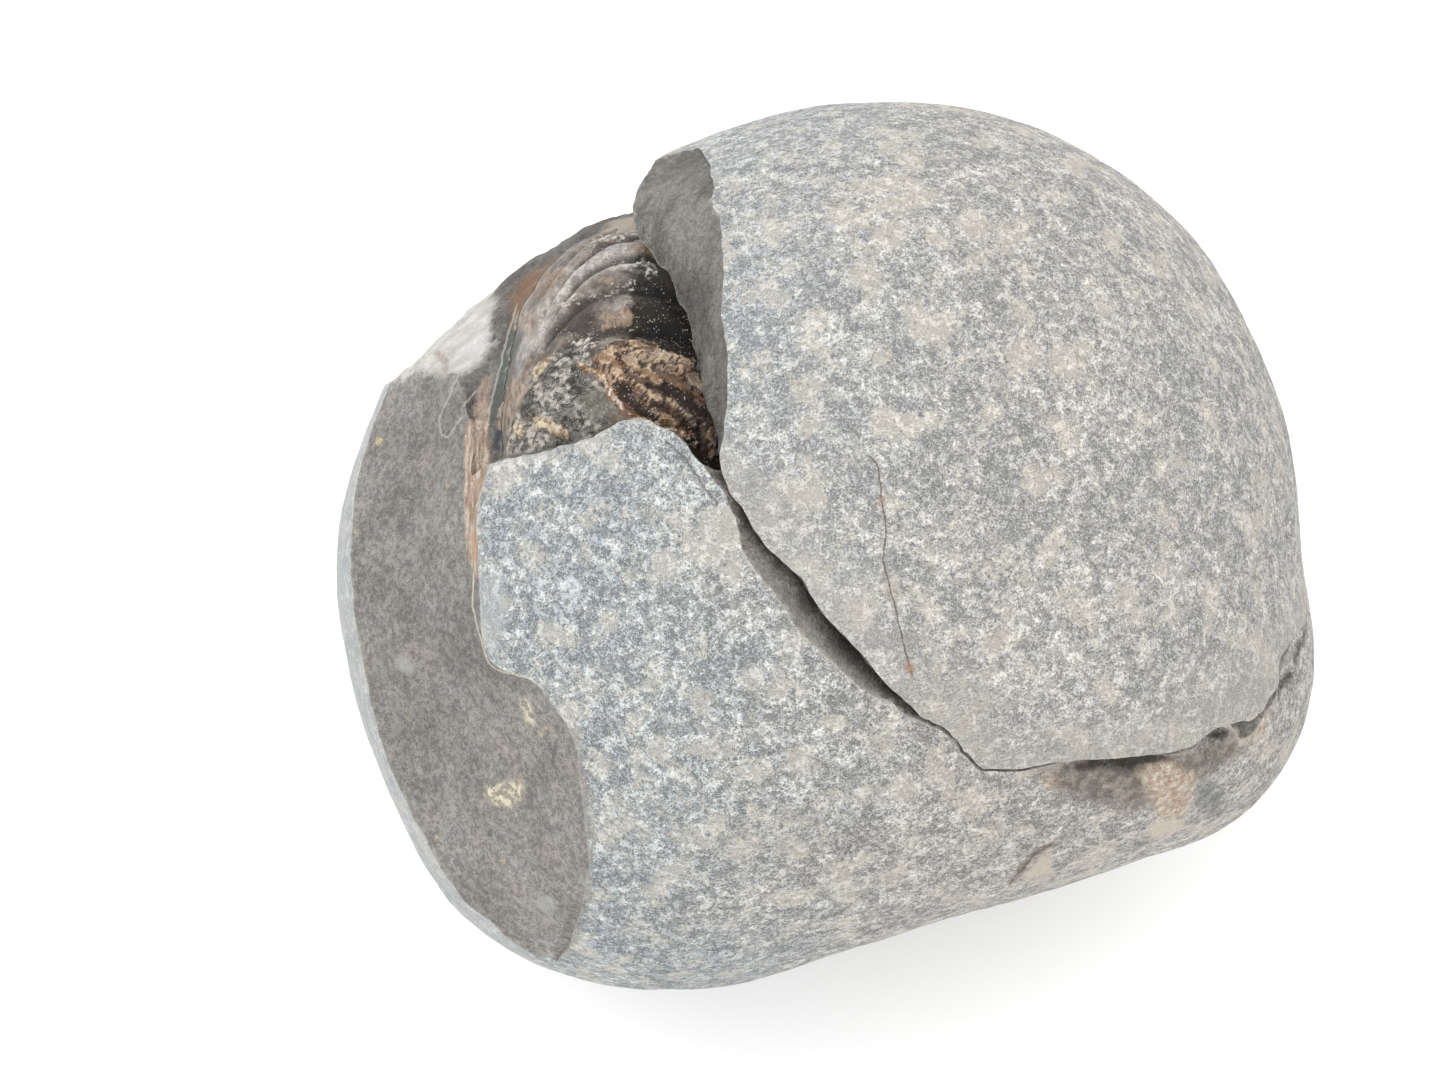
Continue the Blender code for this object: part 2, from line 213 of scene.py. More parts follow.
def lattice(cell, seed):
    """A random number from 0 to 1 for each whole-number cell: its three numbers, hashed."""
    mixed = np.full(cell.shape[:-1], seed * HASH_SEED + 7, dtype=np.uint32)
    for axis, factor in enumerate(HASH_AXES):
        mixed += cell[..., axis].astype(np.uint32) * np.uint32(factor)
    for shift, factor in HASH_MIXES:
        mixed = (mixed ^ (mixed >> np.uint32(shift))) * np.uint32(factor)
    return (mixed & np.uint32(HASH_BITS)) / float(HASH_BITS)


def noise(points, size, seed):
    """Smooth noise from -1 to 1: random values at the corners of cubes, blended between them."""
    place = points / size + SEED_SHIFT * (seed + 1)
    cell = np.floor(place).astype(np.int64)
    part = place - cell
    part = part ** 3 * (part * (part * 6 - 15) + 10)
    total = np.zeros(points.shape[:-1])
    for corner in np.ndindex(2, 2, 2):
        weight = np.prod(np.where(corner, part, 1 - part), axis=-1)
        total += weight * lattice(cell + np.array(corner), seed)
    return 2 * total - 1


def bumps(points, seed, *layers):
    """Noise in layers of (height, size, octaves), each octave half the size and height."""
    total = np.zeros(points.shape[:-1])
    for height, size, octaves in layers:
        for octave in range(octaves):
            seed += 1
            total += height * 0.5 ** octave * noise(points, size * 0.5 ** octave, seed)
    return total


def to_world(points):
    """Points of the stone's frame, in mm, leaned back and set on the floor, in metres."""
    points = np.asarray(points, dtype=float)
    lean = math.radians(LEAN)
    u, v, w = points[..., 0], points[..., 1], points[..., 2]
    world = np.stack([u, v * math.cos(lean) - w * math.sin(lean),
                      v * math.sin(lean) + w * math.cos(lean)], axis=-1)
    return (world + np.array(MIDDLE)) / 1000.0


def to_stone(world):
    """Points in metres turned back to the stone's frame, in mm."""
    lean = math.radians(LEAN)
    x, y, z = (world * 1000.0 - np.array(MIDDLE)).T
    return np.stack([x, y * math.cos(lean) + z * math.sin(lean),
                     z * math.cos(lean) - y * math.sin(lean)], axis=-1)


def smooth(before, start, end, after, part):
    """A Catmull-Rom curve: part of the way from start to end, by a cubic that heads for both
    neighbours."""
    return start + 0.5 * part * (end - before + part * (
        2 * before - 5 * start + 4 * end - after + part * (3 * (start - end) + after - before)))


def curve(stations, length):
    """Rows along a smooth (Catmull-Rom) curve through the given rows, about one cell apart."""
    stations = np.asarray(stations, dtype=float)
    place = np.linspace(0, len(stations) - 1, int(length / SHEET_CELL))
    first = np.minimum(np.floor(place).astype(int), len(stations) - 2)
    part = (place - first).reshape((-1,) + (1,) * (stations.ndim - 1))
    padded = np.concatenate([2 * stations[:1] - stations[1:2], stations,
                             2 * stations[-1:] - stations[-2:-1]])
    return smooth(*(padded[first + step] for step in range(4)), part)


def spread(grid):
    """Columns of a grid of points, spread evenly by straight lines, about one cell apart."""
    steps = np.linalg.norm(np.diff(grid, axis=1), axis=-1).mean(axis=0)
    reach = np.concatenate([[0], np.cumsum(steps)])
    wanted = np.linspace(0, reach[-1], int(reach[-1] / SHEET_CELL) + 2)
    place = np.interp(wanted, reach, range(len(reach)))
    first = np.minimum(place.astype(int), grid.shape[1] - 2)
    part = (place - first)[None, :, None]
    return grid[:, first] * (1 - part) + grid[:, first + 1] * part


def roughen(grid, roughness):
    """A sheet of points moved along its own normals by a roughness."""
    normal = np.cross(np.gradient(grid, axis=0), np.gradient(grid, axis=1))
    normal /= np.linalg.norm(normal, axis=-1, keepdims=True) + 1e-9
    return grid + normal * bumps(grid, *roughness)[..., None]


def grid_faces(rows, columns, closed_rows=False, start=0):
    """Quads of a grid of points stored row by row; closed_rows joins the last row to the first."""
    row = np.arange(rows if closed_rows else rows - 1)[:, None]
    column = np.arange(columns - 1)[None, :]
    after = (row + 1) % rows
    corners = (row * columns + column, row * columns + column + 1,
               after * columns + column + 1, after * columns + column)
    return start + np.stack(corners, axis=-1).reshape(-1, 4)


def add_object(name, data):
    """A new object of the scene, at the origin."""
    thing = bpy.data.objects.new(name, data)
    bpy.context.scene.collection.objects.link(thing)
    return thing


def add_solid(name, points, quads, triangles, kind):
    """A closed mesh object with outward faces, from stone-frame points and faces of one kind."""
    a, b, c, d = (points[quads[:, corner]] for corner in range(4))
    e, f, g = (points[triangles[:, corner]] for corner in range(3))
    volume = np.einsum("ij,ij->", a, np.cross(b, c) + np.cross(c, d))
    volume += np.einsum("ij,ij->", e, np.cross(f, g))
    if volume < 0:
        quads, triangles = quads[:, ::-1], triangles[:, ::-1]
    mesh = bpy.data.meshes.new(name)
    mesh.from_pydata(to_world(points), [], quads.tolist() + triangles.tolist())
    mesh.attributes.new("kind", "INT", "FACE")
    kinds = np.full(len(mesh.polygons), kind, dtype=np.int32)
    mesh.attributes["kind"].data.foreach_set("value", kinds)
    return add_object(name, mesh)


def ring_solid(name, points, rows, columns, kind):
    """A closed solid whose rows go round a ring. The last two points close the rows' two ends, each
    by a fan of triangles."""
    row = np.arange(rows)
    after = (row + 1) % rows
    last = columns - 1
    first_end, last_end = np.full(rows, rows * columns), np.full(rows, rows * columns + 1)
    fans = np.vstack([np.stack([row * columns, after * columns, first_end], axis=-1),
                      np.stack([row * columns + last, last_end, after * columns + last], axis=-1)])
    return add_solid(name, points, grid_faces(rows, columns, closed_rows=True), fans, kind)


def pushed_sheet(name, grid, push, kind):
    """A closed cutter: a sheet of points and the same sheet pushed away along one direction."""
    rows, columns = grid.shape[:2]
    near = grid.reshape(-1, 3)
    count = rows * columns
    far_faces = grid_faces(rows, columns, start=count)[:, ::-1]
    edge = np.concatenate([np.arange(columns), np.arange(1, rows) * columns + columns - 1,
                           (rows - 1) * columns + np.arange(columns - 2, -1, -1),
                           np.arange(rows - 2, 0, -1) * columns])
    after = np.roll(edge, -1)
    sides = np.stack([edge, edge + count, after + count, after], axis=-1)
    points = np.vstack([near, near + np.array(push)])
    faces = np.vstack([grid_faces(rows, columns), far_faces, sides])
    return add_solid(name, points, faces, np.zeros((0, 3), dtype=int), kind)


def cut(piece, cutter, operation="DIFFERENCE"):
    """Cut a piece with a closed cutter and keep the result as its mesh."""
    step = piece.modifiers.new("cut", "BOOLEAN")
    step.operation = operation
    step.object = cutter
    step.solver = "MANIFOLD"
    whole = piece.evaluated_get(bpy.context.evaluated_depsgraph_get())
    mesh = bpy.data.meshes.new_from_object(whole)
    piece.modifiers.clear()
    piece.data = mesh
    bpy.data.objects.remove(cutter)


def break_off(piece, name, sheet, roughness, push, kind):
    """Break a piece along a rough sheet, and drop what lies on the pushed side of it."""
    cut(piece, pushed_sheet(name, roughen(spread(sheet), roughness), push, kind))


def line_gaps(points, corners, closed=False):
    """Distance from each point to each straight part of a line through the corners, below 0 for
    points on its right."""
    corners = np.asarray(corners, dtype=float)
    start = corners[None] if closed else corners[None, :-1]
    end = np.roll(corners, -1, axis=0)[None] if closed else corners[None, 1:]
    run = end - start
    away = points[:, None, :] - start
    part = np.clip((away * run).sum(-1) / (run ** 2).sum(-1), 0, 1)
    gap = np.linalg.norm(away - part[..., None] * run, axis=-1)
    left = run[..., 0] * away[..., 1] - run[..., 1] * away[..., 0] > 0
    return np.where(left, gap, -gap)


def line_distance(points, corners, closed=False):
    """Distance from each point to the nearest place on a line through the corners."""
    return np.abs(line_gaps(points, corners, closed)).min(axis=1)


def inside(points, corners):
    """Distance from points to the edge of a closed outline, positive inside it: a point is inside
    when a level line from it crosses the outline an odd number of times."""
    corners = np.asarray(corners, dtype=float)
    start, end = corners[None], np.roll(corners, -1, axis=0)[None]
    level = points[:, None, 1]
    crossing = (start[..., 1] > level) != (end[..., 1] > level)
    rise = end[..., 1] - start[..., 1]
    slope = (end[..., 0] - start[..., 0]) / np.where(rise == 0, 1, rise)
    before = points[:, None, 0] < start[..., 0] + (level - start[..., 1]) * slope
    odd = (crossing & before).sum(axis=1) % 2
    distance = line_distance(points, corners, closed=True)
    return np.where(odd == 1, distance, -distance)


def mark(points, outlines=(), spots=(), lines=(), level=FRONT_LEVEL):
    """How far each point lies inside a mark, in mm: an outline is closed corners (u, v), a spot is
    (u, v, radius), and a line is (half width, corners). The mark fades out below the level w."""
    flat = points[:, :2]
    depth = np.full(len(points), FAR_OUT)
    for corners in outlines:
        depth = np.maximum(depth, inside(flat, corners))
    for u, v, radius in spots:
        depth = np.maximum(depth, radius - np.hypot(flat[:, 0] - u, flat[:, 1] - v))
    for half_width, corners in lines:
        depth = np.maximum(depth, half_width - line_distance(flat, corners))
    return np.minimum(depth, LEVEL_FADE * (points[:, 2] - level))


def stray(points):
    """The points shifted by a smooth noise that grows below a level, so that a mark's outline
    wanders on the flanks. The noise is taken once for each direction."""
    reach = STRAY * np.clip((STRAY_LEVEL - points[:, 2]) / STRAY_LEVEL, 0, 2)
    shift = [noise(points, STRAY_SIZE, seed) + 0.5 * noise(points, 0.4 * STRAY_SIZE, seed)
             for seed in STRAY_SEEDS]
    return points + reach[:, None] * np.stack(shift, axis=-1)


def line_sides(points, lines):
    """Signed distance from each point to the nearest of the lines, left of it positive, and the
    distance itself: a line shows crisply where the signed distance passes through 0."""
    gaps = np.hstack([line_gaps(points[:, :2], corners) for corners in lines])
    side = gaps[np.arange(len(gaps)), np.abs(gaps).argmin(axis=1)]
    unmarked = (points[:, 2] < FRONT_LEVEL) | (np.abs(side) > -FAR_OUT)
    side = np.where(unmarked, -FAR_OUT, side)
    return side, np.abs(side)


def coil_axes():
    """Unit vectors of the coil: along its axis, towards its rim at turn 0, and a quarter on."""
    axis = np.array(SHELL_AXIS)
    axis /= np.linalg.norm(axis)
    rim = np.array(SHELL_RIM)
    rim -= axis * rim.dot(axis)
    rim /= np.linalg.norm(rim)
    return axis, rim, np.cross(rim, axis)


def rib_turn(turn, across):
    """The turn at which a rib that passes a point crosses the keel: ribs sweep forward on the left
    side by a square of the way across, further on the older ribs, and only a little on the right.
    Each round puts the turn just found into the sweep, until it settles."""
    way = (across - RIB_MIDDLE) / RIB_REACH
    left, right = (np.minimum(way ** 2, most) for most in (LEFT_BEND, RIGHT_BEND))
    way = np.where(way > 0, left, RIGHT_SHARE * right)
    keel = turn
    for _ in range(20):
        sweep = np.clip(RIB_SWEEP - RIB_SWEEP_RATE * keel, RIB_SWEEP, RIB_SWEEP_MOST)
        keel = turn - way * sweep
    return keel


def furrow_depth(turn, across):
    """How deep the surface lies below the rib tops, from 0 to 1: a narrow furrow and a wide hollow
    between ribs, and a faint line along the middle of each rib, all fading down the flanks."""
    place = (rib_turn(turn, across) - RIB_START) / RIB_SPACING
    near = np.abs(place - np.round(place))
    middle = 0.5 - near
    depth = (FURROW_DEPTH * np.exp(-(near / FURROW_WIDTH) ** 2)
             + HOLLOW_DEPTH * (1 + np.cos(2 * math.pi * near)))
    depth += MIDLINE_DEPTH * np.exp(-(middle / MIDLINE_WIDTH) ** 2)
    down = (np.abs(across - RIB_MIDDLE) - RIB_FADE_START) / RIB_FADE_SPAN
    return depth * (1 - RIB_FADE * np.clip(down, 0, 1))


def shards(points, size, seed):
    """Angular shards round random centres: each point's shard number from 0 to 1, and how far the
    point lies from its shard's edge, in shard sizes."""
    place = points / size
    cell = np.floor(place).astype(np.int64)
    first = np.full(len(points), 9.0)
    second = np.full(len(points), 9.0)
    number = np.zeros(len(points))
    for near in np.ndindex(3, 3, 3):
        there = cell + np.array(near) - 1
        centre = there + np.stack([lattice(there, seed + axis) for axis in range(3)], axis=-1)
        reach = np.linalg.norm(place - centre, axis=-1)
        closer = reach < first
        second = np.where(closer, first, np.minimum(second, reach))
        number = np.where(closer, lattice(there, seed + 3), number)
        first = np.where(closer, reach, first)
    return number, second - first


def shell_sheets(points):
    """Torn sheets of shell, from 0 for the lowest to 1 for the highest, and how far a point is from
    a torn edge: large and small shards, drawn out along the direction in which the shell tears."""
    run = np.array(FLAKE_RUN)
    drawn = points - FLAKE_STRETCH * (points @ run)[:, None] * run
    wobble = [noise(points, WOBBLE_SIZE, seed) for seed in WOBBLE_SEEDS]
    drawn = drawn + SHARD_WOBBLE * np.stack(wobble, axis=-1)
    large, large_gap = shards(drawn, LARGE_SHARD, SHARD_SEEDS[0])
    small, small_gap = shards(drawn, SMALL_SHARD, SHARD_SEEDS[1])
    slow = 0.5 + 0.5 * noise(points, SLOW_SIZE, SLOW_SEED)
    sheets = sum(share * part for share, part in zip(SHEET_SHARES, (large, small, slow)))
    return sheets, np.minimum(large_gap * LARGE_SHARD, small_gap * SMALL_SHARD)


def coil_place(points):
    """Turn round the coil and way across the whorl, in degrees, of points on the outer whorl."""
    axis, rim, forward = coil_axes()
    away = points - np.array(SHELL_CENTRE)
    turn = np.arctan2(away @ forward, away @ rim)
    size = WHORL_GROWTH ** (turn / (2 * math.pi))
    side = away @ axis / (size * WHORL_WIDTH)
    reach = np.hypot(away @ rim, away @ forward) / size
    out = (reach - (SHELL_RADIUS - WHORL_HEIGHT)) / WHORL_HEIGHT
    return np.degrees(turn), np.degrees(np.arctan2(side, out))


def coil(name, seen_step, hidden_step, across_step, swell, kind):
    """The coil: a whorl section carried round the axis while it grows. The section is an ellipse,
    and inside it the highest of the older whorls, each smaller by the growth. Ribs, flakes and pits
    move it along the section's normal, and swell makes every whorl fatter."""
    axis, rim, forward = coil_axes()
    ring = SHELL_RADIUS - WHORL_HEIGHT
    turned = np.arange(0, SECTION_END, across_step)
    out = ring + WHORL_HEIGHT * np.cos(np.radians(turned[-1]))
    places = np.linspace(out, HUB_RADIUS, int(len(turned) * INNER_SHARE))[1:]
    size = WHORL_GROWTH ** -np.arange(WHORL_COUNT)[:, None]
    level = (places - ring * size) / (WHORL_HEIGHT * size)
    rise = WHORL_WIDTH * size * np.sqrt(np.maximum(1 - level ** 2, 0))
    height = np.where(np.abs(level) < 1, rise, 0)
    whorl = height.argmax(axis=0)
    pick = (whorl, np.arange(len(places)))
    radius = np.concatenate([ring + WHORL_HEIGHT * np.cos(np.radians(turned)), places])
    side = np.concatenate([WHORL_WIDTH * np.sin(np.radians(turned)),
                           np.maximum(height[pick], HUB_HEIGHT)])
    across = np.concatenate([turned, np.degrees(np.arccos(np.clip(level[pick], -1, 1)))])
    whorl = np.concatenate([np.zeros(len(turned)), whorl])
    radius, whorl = (np.concatenate([part[:0:-1], part]) for part in (radius, whorl))
    side, across = (np.concatenate([part[:0:-1], -part]) for part in (side, across))

    low, high = SEEN_TURN
    turn = np.concatenate([np.arange(APERTURE_ANGLE - 360, low, hidden_step),
                           np.arange(low, high, seen_step),
                           np.arange(high, APERTURE_ANGLE, hidden_step)])
    size = WHORL_GROWTH ** (turn / 360)
    grown = size[:, None] * WHORL_GROWTH ** -whorl
    round_turn = turn[:, None] - 360 * whorl
    way = np.broadcast_to(across, round_turn.shape)
    direction = (np.outer(np.cos(np.radians(turn)), rim)
                 + np.outer(np.sin(np.radians(turn)), forward))
    normal = (np.cos(np.radians(way))[..., None] * direction[:, None]
              + np.sin(np.radians(way))[..., None] * axis).reshape(-1, 3)
    points = (np.array(SHELL_CENTRE) + direction[:, None] * (size[:, None] * radius)[..., None]
              + axis * (size[:, None] * side)[..., None]).reshape(-1, 3)

    ragged = bumps(points, *RAGGED_BUMPS)
    sheets, _ = shell_sheets(points)
    flaky = np.clip((mark(points, CAST_OUTLINES["flakes"]) + ragged) / FLAKE_EDGE, 0, 1)
    scraps = CAST_OUTLINES["tan_flake"] + CAST_OUTLINES["cream_flakes"]
    small = np.clip((mark(points, scraps) + 0.5 * ragged) / SCRAP_EDGE, 0, 1)
    edges = CAST_LINES["torn_edge"] + CAST_LINES["flake_ledge"]
    torn = np.clip(mark(points, lines=edges) / SCRAP_EDGE, 0, 1)
    pitted = np.clip(mark(points, CAST_OUTLINES["pits"]) + ragged, 0, 1)
    lift = swell - RIB_DEPTH * (grown * furrow_depth(round_turn, way)).ravel()
    lift = lift + flaky * (FLAKE_FOOT + FLAKE_HEIGHT * sheets)
    lift = lift + SCRAP_HEIGHT * small + TORN_HEIGHT * torn
    lift = lift + pitted * bumps(points, *PIT_BUMPS) + bumps(points, *SHELL_BUMPS)
    points = points + normal * lift[:, None]

    hub = axis * (HUB_HEIGHT + swell)
    points = np.vstack([points, np.array(SHELL_CENTRE) + hub, np.array(SHELL_CENTRE) - hub])
    return ring_solid(name, points, len(turn), len(radius), kind)


def socket():
    """The hollow that the coil leaves in the rock, coarser and a little larger than the coil."""
    return coil("socket", *(FINE * step for step in SOCKET_STEPS), SOCKET_SWELL, SOCKET)


ammonite = coil("ammonite_shell", *(FINE * step for step in COIL_STEPS), 0.0, SKIN)
sheet = np.array([[(u, v, -BEYOND), (u, v, 0.0), (u, v, BEYOND)] for u, v in BREAK_OUTLINE])
sheet = curve(sheet, BREAK_LENGTH)
break_off(ammonite, "coil_end", sheet, COIL_END_BUMPS, COIL_END_PUSH, BREAK)


def write(mesh, name, values, domain="POINT"):
    """Store one number for each point or face of a mesh."""
    mesh.attributes.new(name, "FLOAT", domain)
    mesh.attributes[name].data.foreach_set("value", np.asarray(values, dtype=np.float32))


def write_lines(mesh, points, named):
    """Store the signed and plain distance from each point to the thin lines of each name."""
    for name, lines in named.items():
        side, near = line_sides(points, lines)
        write(mesh, name + "_side", side)
        write(mesh, name + "_near", near)


def store_marks(mesh, points, level=FRONT_LEVEL, **marks):
    """Store marks of the given sorts (outlines, spots or lines), each under its own name."""
    for sort, named in marks.items():
        for name, shapes in named.items():
            write(mesh, name, mark(points, level=level, **{sort: shapes}))


def read(items, name, width=1, kind=np.int32):
    """A property of all of a mesh's points, edges, faces or corners, in rows of a width."""
    values = np.zeros(len(items) * width, dtype=kind)
    items.foreach_get(name, values)
    return values.reshape(-1, width).squeeze()


def face_kinds(mesh):
    """The kind of surface of each face."""
    return read(mesh.attributes["kind"].data, "value")


def mesh_points(mesh):
    """The mesh's points in the stone's frame, in mm."""
    return to_stone(read(mesh.vertices, "co", 3, np.float32).astype(float))


places = stray(mesh_points(ammonite.data))
sheets, torn = shell_sheets(places)
turn, across = coil_place(places)
for name, values in (
        ("across", across),
        ("furrow", furrow_depth(turn, across)),
        ("sheets", sheets),
        ("torn", torn)):
    write(ammonite.data, name, values)
store_marks(ammonite.data, places, SHELL_LEVEL, outlines=CAST_OUTLINES, lines=CAST_LINES)
write(ammonite.data, "broken_face", face_kinds(ammonite.data) == BREAK, "FACE")

LAMP_SHARE = 0.62
LINE_REACH = (0.35, 0.6)
SHARP_ANGLE = 40.0


def tone(red, green, blue):
    """The surface colour that shows as the given screen colour (0 to 255) under these lamps."""
    shown = np.array((red, green, blue)) / 255.0
    linear = np.where(shown <= 0.04045, shown / 12.92, ((shown + 0.055) / 1.055) ** 2.4)
    return (*(linear * LAMP_SHARE), 1.0)


def put(kind, sockets, tree=None, **settings):
    """Add a shader node. Its sockets are set to a value or linked from another node's output, and
    it joins the tree of the outputs, unless a tree is given."""
    linked = [name for name, value in sockets.items() if isinstance(value, bpy.types.NodeSocket)]
    tree = tree or sockets[linked[0]].id_data
    node = tree.nodes.new("ShaderNode" + kind)
    for name, value in settings.items():
        setattr(node, name, value)
    for name, value in sockets.items():
        if name in linked:
            tree.links.new(value, node.inputs[name])
        else:
            node.inputs[name].default_value = value
    return node


def blend(factor, low, high, how="MIX"):
    """Mix two colours by a factor."""
    sockets = {0: factor, 6: low, 7: high}
    return put("Mix", sockets, data_type="RGBA", blend_type=how).outputs[2]


def calc(how, first, second=0.0):
    """One step of arithmetic."""
    return put("Math", {0: first, 1: second}, operation=how).outputs[0]


def plus(first, second):
    """The sum of two numbers."""
    return calc("ADD", first, second)


def times(first, second):
    """The product of two numbers."""
    return calc("MULTIPLY", first, second)


def ramp(value, start, end, low=0.0, high=1.0):
    """Turn a value's span from start to end into low to high, smoothly, and hold it outside."""
    sockets = {"Value": value, "From Min": start, "From Max": end, "To Min": low, "To Max": high}
    return put("MapRange", sockets, interpolation_type="SMOOTHSTEP").outputs[0]


def cloud(place, size, detail=2.0, roughness=0.5):
    """Noise of a given size in mm, from 0 to 1."""
    sockets = {"Vector": place, "Scale": 1.0 / size, "Detail": detail, "Roughness": roughness}
    return put("TexNoise", sockets).outputs["Fac"]


def mottle(noise, low, high, start=0.38, end=0.62):
    """Two colours in the patches of a noise."""
    return blend(ramp(noise, start, end), low, high)


def shade(colour, grey):
    """Darken or brighten a colour by a grey factor."""
    factor = put("CombineColor", {0: grey, 1: grey, 2: grey}).outputs[0]
    return blend(1.0, colour, factor, "MULTIPLY")


def grained(colour, grain, low, high):
    """Shade a colour from low to high by a grain."""
    return shade(colour, ramp(grain, 0.0, 1.0, low, high))


def drawn_out(place, scale, turn=0.0):
    """The place turned about the upright and scaled, so that a noise on it is drawn out."""
    sockets = {"Vector": place, "Rotation": (0.0, 0.0, turn), "Scale": scale}
    return put("Mapping", sockets).outputs[0]


def stored(name, beside):
    """A stored number of the mesh, for the tree that another output is in."""
    return put("Attribute", {}, beside.id_data, attribute_name=name).outputs["Fac"]


def stain(colour, name, ragged, tint, fade=0.2, strength=1.0):
    """Lay a stored mark over a colour: its edge is moved by a ragged noise and faded."""
    mask = ramp(plus(stored(name, colour), ragged), -fade, fade)
    return blend(times(mask, strength), colour, tint)


def stains(colour, *marks):
    """Lay several stored marks over a colour, one after another."""
    for given in marks:
        colour = stain(colour, *given)
    return colour


def thin_line(colour, name, wobble, half_width, tint, strength=1.0):
    """Draw the stored lines of a name: a crisp line of a half width in mm, kept near the lines."""
    side = plus(stored(name + "_side", colour), wobble)
    gap = put("Math", {0: side}, operation="ABSOLUTE").outputs[0]
    crisp = ramp(gap, 0.5 * half_width, 1.3 * half_width, strength, 0.0)
    near = ramp(stored(name + "_near", colour), *LINE_REACH, 1.0, 0.0)
    return blend(times(crisp, near), colour, tint)


def new_group(name, inputs, outputs):
    """An empty shader node group with named numbers going in and out, and a vector for Place."""
    tree = bpy.data.node_groups.new(name, "ShaderNodeTree")
    for way, names in (("INPUT", inputs), ("OUTPUT", outputs)):
        for socket in names:
            kind = "NodeSocketVector" if socket == "Place" else "NodeSocketFloat"
            tree.interface.new_socket(socket, in_out=way, socket_type=kind)
    return tree, tree.nodes.new("NodeGroupInput").outputs, tree.nodes.new("NodeGroupOutput").inputs


# Mineral grain: Grain is noise that is as strong in its finest dust as in its coarsest grains, and
# Crystals are sparse light grains.
grain_group, given, out = new_group("mineral_grain", ("Place", "Size"), ("Grain", "Crystals"))
place, scale = given["Place"], calc("DIVIDE", 1.0, given["Size"])
even = {"Vector": place, "Scale": scale, "Detail": 3.0, "Roughness": 1.0}
grain = put("TexNoise", even).outputs["Fac"]
cells = put("TexVoronoi", {"Vector": place, "Scale": times(scale, 5.0)}).outputs
chosen = ramp(put("SeparateColor", {0: cells["Color"]}).outputs[0], 0.70, 0.85)
core = ramp(cells["Distance"], 0.15, 0.45, 1.0, 0.0)
grain_group.links.new(ramp(grain, 0.38, 0.62), out["Grain"])
grain_group.links.new(times(chosen, core), out["Crystals"])

# Blotches: ragged patches, their edges broken up by finer noise; more of them as Cover rises.
blotch_group, given, out = new_group("blotches", ("Place", "Size", "Cover", "Edge"), ("Mask",))
place, scale = given["Place"], calc("DIVIDE", 1.0, given["Size"])
broad = put("TexNoise", {"Vector": place, "Scale": scale, "Detail": 1.0}).outputs["Fac"]
finer = {"Vector": place, "Scale": times(scale, 7.0), "Detail": 3.0, "Roughness": 0.7}
torn = times(calc("SUBTRACT", put("TexNoise", finer).outputs["Fac"], 0.5), given["Edge"])
mask = calc("SUBTRACT", plus(broad, torn), calc("SUBTRACT", 1.0, given["Cover"]))
blotch_group.links.new(ramp(mask, -0.03, 0.06), out["Mask"])


def grains(place, size):
    """Place the grain group: brightness of the grain, and light crystals."""
    sockets = {"Place": place, "Size": size}
    return put("Group", sockets, node_tree=grain_group).outputs[:2]


def blotches(place, size, cover, edge=0.5):
    """Place the blotch group: a mask of ragged patches."""
    sockets = {"Place": place, "Size": size, "Cover": cover, "Edge": edge}
    return put("Group", sockets, node_tree=blotch_group).outputs["Mask"]


def ragged_edge(place, size, reach):
    """Noise from -reach to reach, for tearing the edge of a mark."""
    return times(calc("SUBTRACT", cloud(place, size, 4.0, 0.7), 0.5), 4 * reach)


def start_material(name):
    """A new material, and the place on the object in mm."""
    material = bpy.data.materials.new(name)
    material.use_nodes = True
    metres = put("TexCoord", {}, material.node_tree).outputs["Object"]
    place = put("VectorMath", {0: metres, "Scale": 1000.0}, operation="SCALE").outputs[0]
    return material, place


def surface(material, gloss, roughness, height, strength, distance):
    """Set a material's plain gloss, and drive its roughness and its bumps."""
    shader = material.node_tree.nodes["Principled BSDF"].inputs
    shader["Specular IOR Level"].default_value = gloss
    material.node_tree.links.new(roughness, shader["Roughness"])
    bump = put("Bump", {"Height": height, "Strength": strength, "Distance": distance})
    material.node_tree.links.new(bump.outputs["Normal"], shader["Normal"])


def finish(piece, node, material, colour):
    """Colour a piece, shade it smooth up to its sharp edges, and let it stand for its node."""
    tree = material.node_tree
    tree.links.new(colour, tree.nodes["Principled BSDF"].inputs["Base Color"])
    mesh = piece.data
    mesh.materials.clear()
    mesh.materials.append(material)
    mesh.polygons.foreach_set("use_smooth", np.ones(len(mesh.polygons), dtype=bool))
    mesh.set_sharp_from_angle(angle=math.radians(SHARP_ANGLE))
    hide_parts(node)
    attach(piece, "root")


# The cast is slate grey, with painted highlight on its rib bands and painted shade in its furrows
# and hollows. Its right side is brown-black shell under the wall, darkened further as painted
# shadow of the wall. It carries the flakes, pits, crumbs and specks as colours of their own.
cast, place = start_material("fossil_cast")
grain, crystals = grains(place, 1.0)
soft = cloud(place, 3.5, 4.0, 0.6)
furrow = stored("furrow", place)
across = stored("across", place)
tear = ragged_edge(place, 1.1, 0.22)

slate = mottle(soft, tone(104, 97, 89), tone(166, 158, 149))
brown = blotches(place, 2.2, 0.46, 0.9)
slate = blend(times(brown, 0.55), slate, tone(134, 112, 92))
# Painted highlight laid over the rib bands, and painted shade in the hollows beside them.
loose = ragged_edge(place, 2.6, 0.7)
streaks = drawn_out(place, (1.2, 0.3, 0.4), -0.5)
painted_highlight = mottle(cloud(streaks, 0.9, 4.0, 0.6), tone(156, 150, 143), tone(204, 199, 192), 0.35)
slate = stains(slate, ("painted_sheen", loose, painted_highlight, 0.9, 0.95),
               ("painted_hollow_shade", loose, tone(66, 59, 54), 0.8, 0.9))
